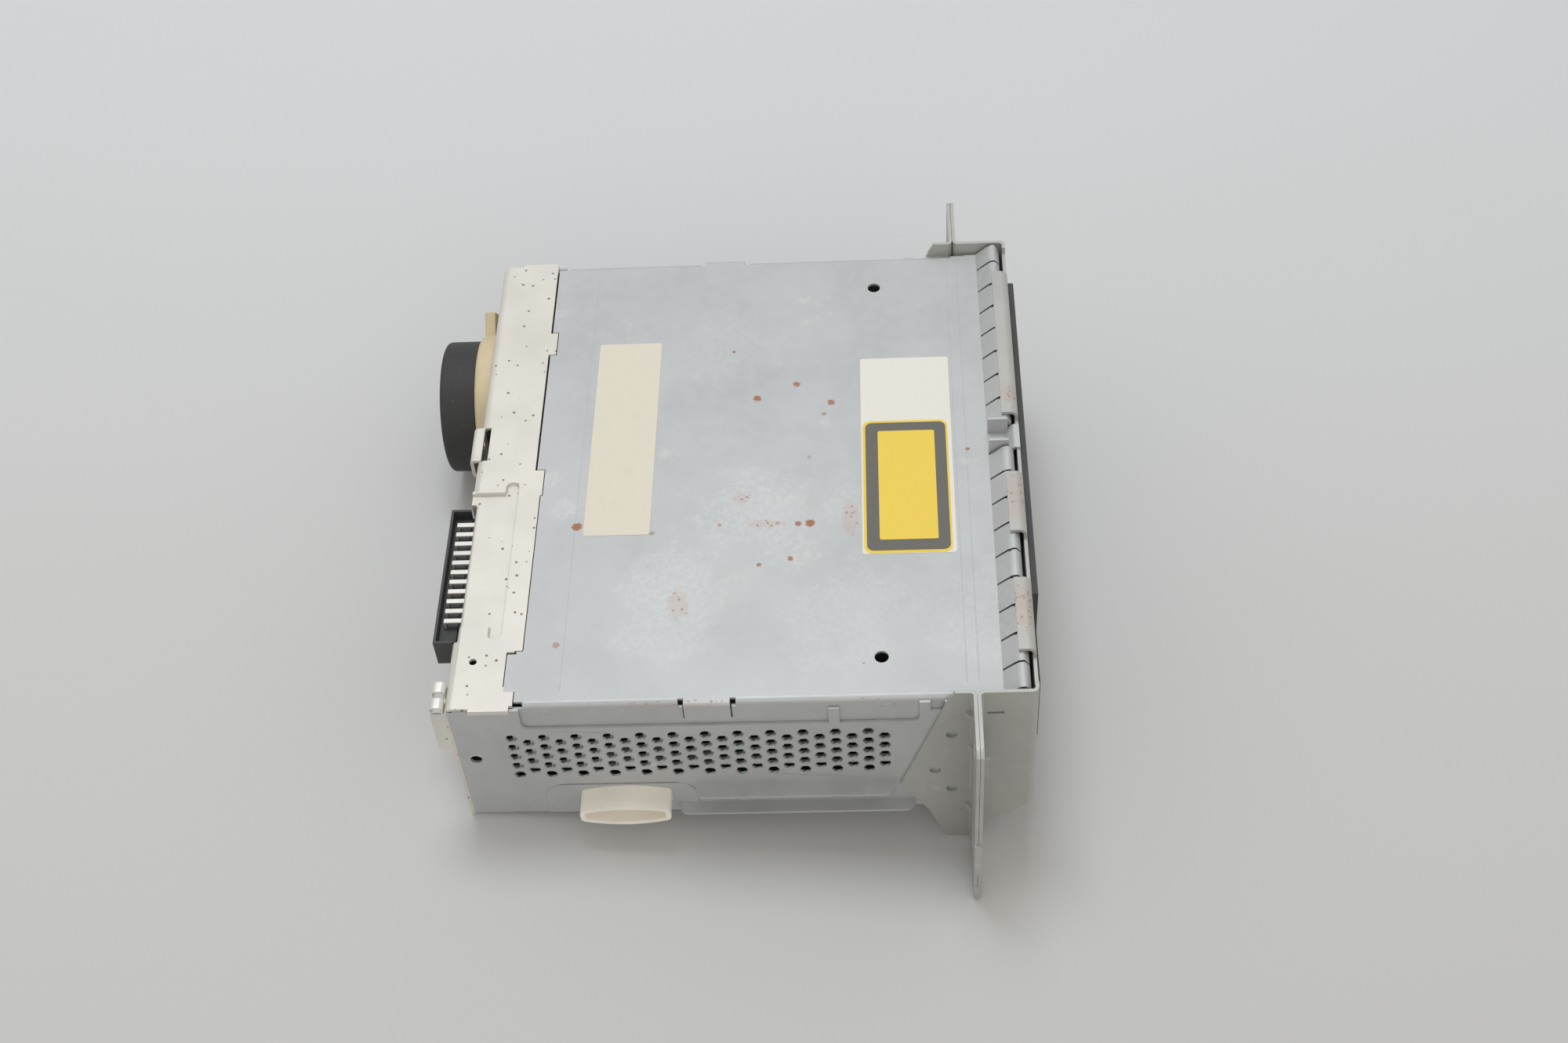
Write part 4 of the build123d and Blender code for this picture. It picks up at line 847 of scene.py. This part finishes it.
def cover_fields():
    """Pink freckled fields on the cover: place, radius and stretch."""
    marks = (
        (63.6, -53.6, 4.5, (0.8, 1.5, 1)), (80.5, -14.2, 3.0, (1, 1, 1)),
        (112.8, -22.9, 3.6, (0.8, 2.0, 1)), (88.3, -24.5, 4.0, (1.6, 0.5, 1)),
        (60.0, -88.3, 3.0, (11.0, 0.35, 0.5)), (120.0, -88.3, 3.0, (9.0, 0.3, 0.4)),
    )
    return placed(marks)


def curl_fields():
    """Pink freckled fields on the curled strips of the bracket."""
    marks = (
        (161, -22.0, 9.0, (1, 1.1, 1)), (161, -62.0, 9.0, (1, 1.1, 1)), (161, 21.0, 5.0, (1, 1, 1)),
    )
    return placed(marks, CURL_TOP)


# Tray

def vent_centres():
    """Centres of the vent holes in x and z, columns of five and four in turn."""
    for column in range(VENT_COLUMNS):
        lower = column % 2
        for row in range(VENT_ROWS - lower):
            z = VENT_TOP_Z - (row + lower / 2) * VENT_PITCH_Z
            yield VENT_FIRST_X + column * VENT_PITCH_X, z


class PLAYER_OT_tray(bpy.types.Operator):
    """Tray with round vent holes and softened cut edges"""

    bl_idname = "player.tray"
    bl_label = "Tray"

    def execute(self, context):
        tray = welded_copy("chassis_tray", "tray_shell")
        self.round_vents(tray)
        slide(tray, *WALL_CORNER, -WALL_STEP)
        round_edges(tray, sizes().edge_round)
        settle(tray, "zinc_steel", replaced=["chassis_tray"])
        return {"FINISHED"}

    def round_vents(self, tray):
        """The CAD vents have six sides: each side is divided and pushed out to the circle."""
        centres = [at(x, 0, z) for x, z in vent_centres()]
        radius = VENT_RADIUS * MM

        def rim(vertex):
            """The vent whose rim a vertex of the side walls is on."""
            if abs(vertex.co.y) < (CASE_HALF - SHEET) * MM - WELD:
                return None
            for centre in centres:
                if math.hypot(vertex.co.x - centre.x, vertex.co.z - centre.z) < radius + WELD:
                    return centre
            return None

        mesh = edit(tray)
        on_rim = {vertex.index: rim(vertex) for vertex in mesh.verts}

        def side(edge):
            """One of the six sides of a vent has the length of its radius."""
            first, second = edge.verts
            vent = on_rim[first.index]
            level = abs(first.co.y - second.co.y) < WELD
            length = (first.co - second.co).length
            return bool(
                vent and vent == on_rim[second.index] and level and abs(length - radius) < 5 * WELD
            )

        choose(tray, "EDGE", side)
        bpy.ops.mesh.subdivide(number_cuts=3)
        mesh = bmesh.from_edit_mesh(tray.data)
        for vertex in mesh.verts:
            centre = rim(vertex)
            if centre is not None:
                flat = Vector((vertex.co.x - centre.x, 0, vertex.co.z - centre.z))
                if flat.length > 0.5 * radius:
                    flat *= VENT_OPEN * MM / flat.length
                    vertex.co.x = centre.x + flat.x
                    vertex.co.z = centre.z + flat.z
        bmesh.update_edit_mesh(tray.data)
        leave()


# Cover

class PLAYER_OT_cover(bpy.types.Operator):
    """Cover with perforated skirts, rounded spring fingers, swages and pips"""

    bl_idname = "player.cover"
    bl_label = "Cover"

    def execute(self, context):
        cover = welded_copy("top_cover", "cover_sheet")
        slide(cover, *SKIRT_CORNER, -SKIRT_SHIFT)
        self.round_fingers(cover)
        drill(cover, list(self.skirt_vents()), SKIRT_VENT * MM, 2 * CASE_HALF * MM)
        settle(cover, "zinc_steel", replaced=["top_cover"])
        low, high = at(*COVER_TAB[0], CASE_TOP - SHEET), at(*COVER_TAB[1], CASE_TOP + 0.02)
        settle(rounded_plate("cover_tab", low, high, 0.4 * MM), "zinc_steel")
        for index, x in enumerate(SWAGES):
            self.add_swage("cover_swage_%d" % index, x)
        for index, (x, side) in enumerate(PIPS):
            self.add_pip("cover_pip_%d" % index, at(x, side * COVER_HALF, PIP_HEIGHT))
        return {"FINISHED"}

    def round_fingers(self, cover):
        """Turns the folds over the crest of each finger into a curl."""
        start = at(FINGER_START, 0, 0).x
        low, high = (at(x, 0, 0).x for x in CREST_X)
        floor = at(0, 0, CREST_Z).z

        def fold(edge):
            first, second = (vertex.co for vertex in edge.verts)
            level = abs(first.x - second.x) < WELD and abs(first.z - second.z) < WELD
            return level and low < first.x < high and first.z > floor

        edit(cover)
        choose(cover, "FACE", lambda face: all(vertex.co.x > start for vertex in face.verts))
        bpy.ops.mesh.tris_convert_to_quads(
            face_threshold=math.radians(1), shape_threshold=math.radians(180)
        )
        choose(cover, "EDGE", fold)
        bpy.ops.mesh.bevel(offset=CREST_ROUND * MM, segments=3)
        leave()

    def skirt_vents(self):
        """The skirt's own vents run a little behind and below those of the tray."""
        for x, z in vent_centres():
            lag = SKIRT_VENT_LAG * (1 - (x - VENT_FIRST_X) / (VENT_COLUMNS * VENT_PITCH_X))
            if z - SKIRT_VENT > SKIRT_VENT_FLOOR:
                yield at(x - lag, 0, z - SKIRT_VENT_DROP)

    def add_swage(self, name, x):
        """Shallow pressed ridge across the cover."""
        half_x, half_y = SWAGE_HALF
        low = at(x - half_x, -half_y, CASE_TOP - 0.05)
        high = at(x + half_x, half_y, CASE_TOP + 0.07)
        ridge = rounded_plate(name, low, high, 0.6 * MM, 3)
        mesh = edit(ridge)
        for vertex in mesh.verts:
            vertex.select_set(vertex.co.z > high.z - WELD)
        bmesh.update_edit_mesh(ridge.data)
        bpy.ops.transform.resize(value=(0.3, 0.995, 1.0), center_override=(low + high) / 2)
        leave()
        settle(ridge, "zinc_steel")

    def add_pip(self, name, place):
        """Small oval dimple with a raised rim."""
        bpy.ops.mesh.primitive_torus_add(
            location=place, rotation=(math.pi / 2, 0, 0), major_segments=24, minor_segments=6,
            major_radius=1.25 * MM, minor_radius=0.24 * MM,
        )
        pip = bpy.context.active_object
        pip.name = name
        pip.scale = (1.25, 0.9, 1.0)
        settle(pip, "zinc_steel")


# Folded sheets

class PLAYER_OT_sheets(bpy.types.Operator):
    """Rear panel, bracket and clip with softened edges, a lap and a coined field on each wall"""

    bl_idname = "player.sheets"
    bl_label = "Sheets"

    def execute(self, context):
        rear = welded_copy("rear_panel", "rear_sheet")
        self.roll_recess(rear)
        settle(rear, "tinned_steel", replaced=["rear_panel"], smooth=14)
        soften("front_bracket", "bracket_sheet", "bracket_steel", 0.16, 2)
        soften("earth_clip", "clip_sheet", "bright_contact", 0.10, 2)
        for side in (-1, 1):
            faces = sorted((side * CASE_HALF, side * (CASE_HALF + LAP_THICK)))
            name = "far" if side > 0 else "near"
            low, high = (at(x, y, z) for (x, z), y in zip(LAP, faces))
            lap = box_between("wall_lap_" + name, low, high)
            round_edges(lap, 0.1 * MM, 50, 2)
            settle(lap, "zinc_steel")
            self.add_field("wall_field_" + name, side)
        return {"FINISHED"}

    def roll_recess(self, rear):
        """Rolls the edges of the lowered field and its groove."""
        low, high = at(*RECESS[0]), at(*RECESS[1])

        def inside(vertex):
            return all(low[axis] < vertex.co[axis] < high[axis] for axis in range(3))

        def turned(edge):
            sharp = len(edge.link_faces) == 2 and edge.calc_face_angle() > math.radians(30)
            return sharp and all(inside(vertex) for vertex in edge.verts)

        edit(rear)
        bpy.ops.mesh.select_all(action="SELECT")
        bpy.ops.mesh.dissolve_limited(angle_limit=math.radians(0.5))
        choose(rear, "EDGE", turned)
        bpy.ops.mesh.bevel(offset=RECESS_ROUND * MM, segments=4, clamp_overlap=False)
        leave()

    def add_field(self, name, side):
        """Rounded field coined into the wall round the guide shoe."""
        middle = at(0, 0, 8.0).z

        def upper_corner(edge):
            first, second = (vertex.co for vertex in edge.verts)
            return abs(first.y - second.y) > WELD and first.z > middle

        faces = (CASE_HALF - 0.05, CASE_HALF + 0.28)
        low, high = (at(x, y, z) for (x, z), y in zip(FIELD, faces))
        field = box_between(name, low, high)
        edit(field)
        choose(field, "EDGE", upper_corner)
        bpy.ops.mesh.bevel(offset=FIELD_CORNER * MM, segments=8)
        choose(field, "FACE", lambda face: face.normal.y > 0.99)
        bpy.ops.mesh.inset(thickness=FIELD_RIM * MM, depth=-0.16 * MM)
        leave()
        if side < 0:
            field.scale.y = -1
            apply_place()
            edit(field)
            bpy.ops.mesh.select_all(action="SELECT")
            bpy.ops.mesh.normals_make_consistent(inside=False)
            leave()
        settle(field, "zinc_steel")


# Moulded pieces

class PLAYER_OT_mouldings(bpy.types.Operator):
    """Bezel, connector with its contacts, and guide shoes, with rounded edges"""

    bl_idname = "player.mouldings"
    bl_label = "Mouldings"

    def execute(self, context):
        self.build_bezel()
        self.build_connector()
        soften("connector_contacts", "contact_strips", "bright_contact", 0.16, 2)
        soften("guide_shoe_near", "shoe_near", "white_nylon", 0.7, 4)
        soften("guide_shoe_far", "shoe_far", "white_nylon", 0.7, 4)
        return {"FINISHED"}

    def build_bezel(self):
        """The CAD bezel, thinner, and with its near top corner stepped down."""
        bezel = welded_copy("front_bezel", "bezel")
        cut_away(bezel, (BEZEL_FRONT, -90, 0), (175, 90, 60))
        cut_away(bezel, (150, -90, 0), (175, BEZEL_NEAR, 60))
        cut_away(bezel, (150, -90, BEZEL_STEP_Z), (175, BEZEL_STEP_Y, 60))
        round_edges(bezel, 0.25 * MM, 40, 2)
        settle(bezel, "black_plastic", replaced=["front_bezel"])

    def build_connector(self):
        """The CAD housing with its lower near corner cut off at a slant."""
        shell = welded_copy("connector_housing", "connector_shell")
        edit(shell)
        bpy.ops.mesh.select_all(action="SELECT")
        bpy.ops.mesh.bisect(
            plane_co=at(*CONNECTOR_CORNER), plane_no=(0, -0.72, -0.69), use_fill=True,
            clear_outer=True,
        )
        leave()
        round_edges(shell, 0.15 * MM, 40, 2)
        settle(shell, "black_plastic", replaced=["connector_housing"])


# Rear buffer

class PLAYER_OT_buffer(bpy.types.Operator):
    """Rubber ring and cream hub of the rear buffer"""

    bl_idname = "player.buffer"
    bl_label = "Rear buffer"

    def execute(self, context):
        self.build_ring()
        self.build_hub()
        return {"FINISHED"}

    def build_ring(self):
        rear, front = RING_X
        bore = RING_BORE + 0.1
        ring = round_bar("buffer_ring", rear, front, RING_RADIUS, 96)
        sink_end(ring, rear, RING_RADIUS - bore, 4.5)
        bevel_rim(ring, rear, RING_RADIUS, 1.3, 4)
        bevel_rim(ring, rear, bore, 0.5, 2)
        bevel_rim(ring, front, RING_RADIUS, 0.4, 2)
        settle(ring, "black_rubber", replaced=["rear_buffer_ring"])

    def build_hub(self):
        front = RING_X[1]
        hub = round_bar("buffer_hub", front, 0.0, HUB_RADIUS, 96)
        bevel_rim(hub, front, HUB_RADIUS, 2.0, 3)
        bevel_rim(hub, 0.0, HUB_RADIUS, 0.9, 2)
        boss = round_bar("buffer_boss", BOSS_REAR, front + 0.5, BOSS_RADIUS, 64)
        sink_end(boss, BOSS_REAR, BOSS_RADIUS - BOSS_HOLE, 6.0)
        bevel_rim(boss, BOSS_REAR, BOSS_RADIUS, 0.6, 3)
        lug = self.build_lug()
        pick(hub)
        boss.select_set(True)
        lug.select_set(True)
        bpy.ops.object.join()
        settle(hub, "cream_nylon", replaced=["rear_buffer_hub"])

    def build_lug(self):
        """Flat lug that stands out of the hub, turned up about its axis."""
        low = at(LUG_X[0], BUFFER_Y + LUG_ROOT, BUFFER_Z - LUG_HALF)
        high = at(LUG_X[1], BUFFER_Y + LUG_REACH, BUFFER_Z + LUG_HALF)
        lug = box_between("buffer_lug", low, high)
        round_edges(lug, 0.5 * MM, 50, 3)
        edit(lug)
        bpy.ops.mesh.select_all(action="SELECT")
        bpy.ops.transform.rotate(
            value=-math.radians(LUG_ANGLE), orient_axis="X", orient_type="GLOBAL",
            center_override=at(0, BUFFER_Y, BUFFER_Z),
        )
        leave()
        return lug


# Screws

class PLAYER_OT_screws(bpy.types.Operator):
    """Slotted pan-head screws of the boards, dampers and rear panel"""

    bl_idname = "player.screws"
    bl_label = "Screws"

    def execute(self, context):
        pattern = self.pan_head()
        upright = len(BOARD_SCREWS + DAMPER_SCREWS)
        for index, place in enumerate(BOARD_SCREWS + DAMPER_SCREWS + PANEL_SCREWS):
            screw = pattern.copy()
            screw.data = pattern.data.copy()
            screw.name = screw.data.name = "screw_%02d" % index
            screw.location = at(*place)
            turn = (0, 0, 23 * index) if index < upright else (0, -90, 0)
            screw.rotation_euler = [math.radians(angle) for angle in turn]
            bpy.context.scene.collection.objects.link(screw)
            settle(screw, "polished_steel")
        bpy.data.objects.remove(pattern)
        return {"FINISHED"}

    def pan_head(self):
        """Head with a rounded rim and a screwdriver slot, standing on the origin."""
        height = SCREW_HEIGHT * MM
        bpy.ops.mesh.primitive_cylinder_add(
            vertices=28, radius=SCREW_RADIUS * MM, depth=height, location=(0, 0, height / 2)
        )
        head = bpy.context.active_object
        apply_place()
        edit(head)
        choose(head, "EDGE", lambda edge: all(end.co.z > height - WELD for end in edge.verts))
        bpy.ops.mesh.bevel(offset=0.8 * MM, segments=4)
        leave()
        low, high = Vector((-3, -0.35, 0.7)) * MM, Vector((3, 0.35, 2)) * MM
        subtract(head, box_between("slot", low, high))
        return head


# Stickers

class PLAYER_OT_stickers(bpy.types.Operator):
    """Bare stickers on the cover: one cream, one white with a framed yellow panel"""

    bl_idname = "player.stickers"
    bl_label = "Stickers"

    def execute(self, context):
        c = colours()
        looks = {
            "cream_sticker": paper("cream_paper", c.sticker[:], 1.0, 0.25),
            "white_sticker": paper("white_paper", c.white_sticker[:], 2.0, 0.05),
            "panel_ground": paper("panel_ink", c.panel[:], 5.0, 0.10),
            "panel_frame": paper("frame_ink", c.panel_frame[:], 3.0, 0.05),
            "yellow_panel": paper("yellow_ink", c.panel[:], 4.0, 0.10),
        }
        thick = sizes().sticker_thick / MM
        layers = (      # ends along x and y, height in layers, corner radius
            ("cream_sticker", (34.5, 54.0), (-27.5, 51.6), 1, 0.8),
            ("white_sticker", (116.2, 143.4), (-37.0, 42.0), 1, 0.8),
            ("panel_ground", (116.7, 142.2), (-36.8, 15.2), 2, 2.4),
            ("panel_frame", (117.5, 141.6), (-35.9, 14.3), 3, 2.0),
            ("yellow_panel", (121.2, 138.2), (-32.0, 10.8), 4, 0.6),
        )
        for name, (rear, front), (near, far), layer, corner in layers:
            low = at(rear, near, CASE_TOP)
            high = at(front, far, CASE_TOP + layer * thick)
            plate = rounded_plate(name, low, high, corner * MM)
            settle(plate, "white_nylon", looks[name])
        return {"FINISHED"}


OPERATORS = (
    PLAYER_OT_stage,
    PLAYER_OT_finishes,
    PLAYER_OT_tray,
    PLAYER_OT_cover,
    PLAYER_OT_sheets,
    PLAYER_OT_mouldings,
    PLAYER_OT_buffer,
    PLAYER_OT_screws,
    PLAYER_OT_stickers,
)


class PLAYER_PT_pieces(bpy.types.Panel):
    """Pieces of the disc player"""

    bl_label = "Disc player"
    bl_idname = "PLAYER_PT_pieces"
    bl_space_type = "VIEW_3D"
    bl_region_type = "UI"
    bl_category = "Player"

    def draw(self, context):
        for operator in OPERATORS:
            self.layout.operator(operator.bl_idname)
        for group in (context.scene.player_sizes, context.scene.player_colours):
            column = self.layout.column()
            for name in group.__annotations__:
                column.prop(group, name)


def register():
    for item in (PlayerColours, PlayerSizes, *OPERATORS, PLAYER_PT_pieces):
        bpy.utils.register_class(item)
    bpy.types.Scene.player_colours = PointerProperty(type=PlayerColours)
    bpy.types.Scene.player_sizes = PointerProperty(type=PlayerSizes)


def unregister():
    del bpy.types.Scene.player_sizes
    del bpy.types.Scene.player_colours
    for item in (PLAYER_PT_pieces, *reversed(OPERATORS), PlayerSizes, PlayerColours):
        bpy.utils.unregister_class(item)


def main():
    register()
    bpy.ops.player.finishes()
    bpy.ops.player.tray()
    bpy.ops.player.cover()
    bpy.ops.player.sheets()
    bpy.ops.player.mouldings()
    bpy.ops.player.buffer()
    bpy.ops.player.screws()
    bpy.ops.player.stickers()
    bpy.ops.player.stage()


if __name__ == "__main__":
    main()
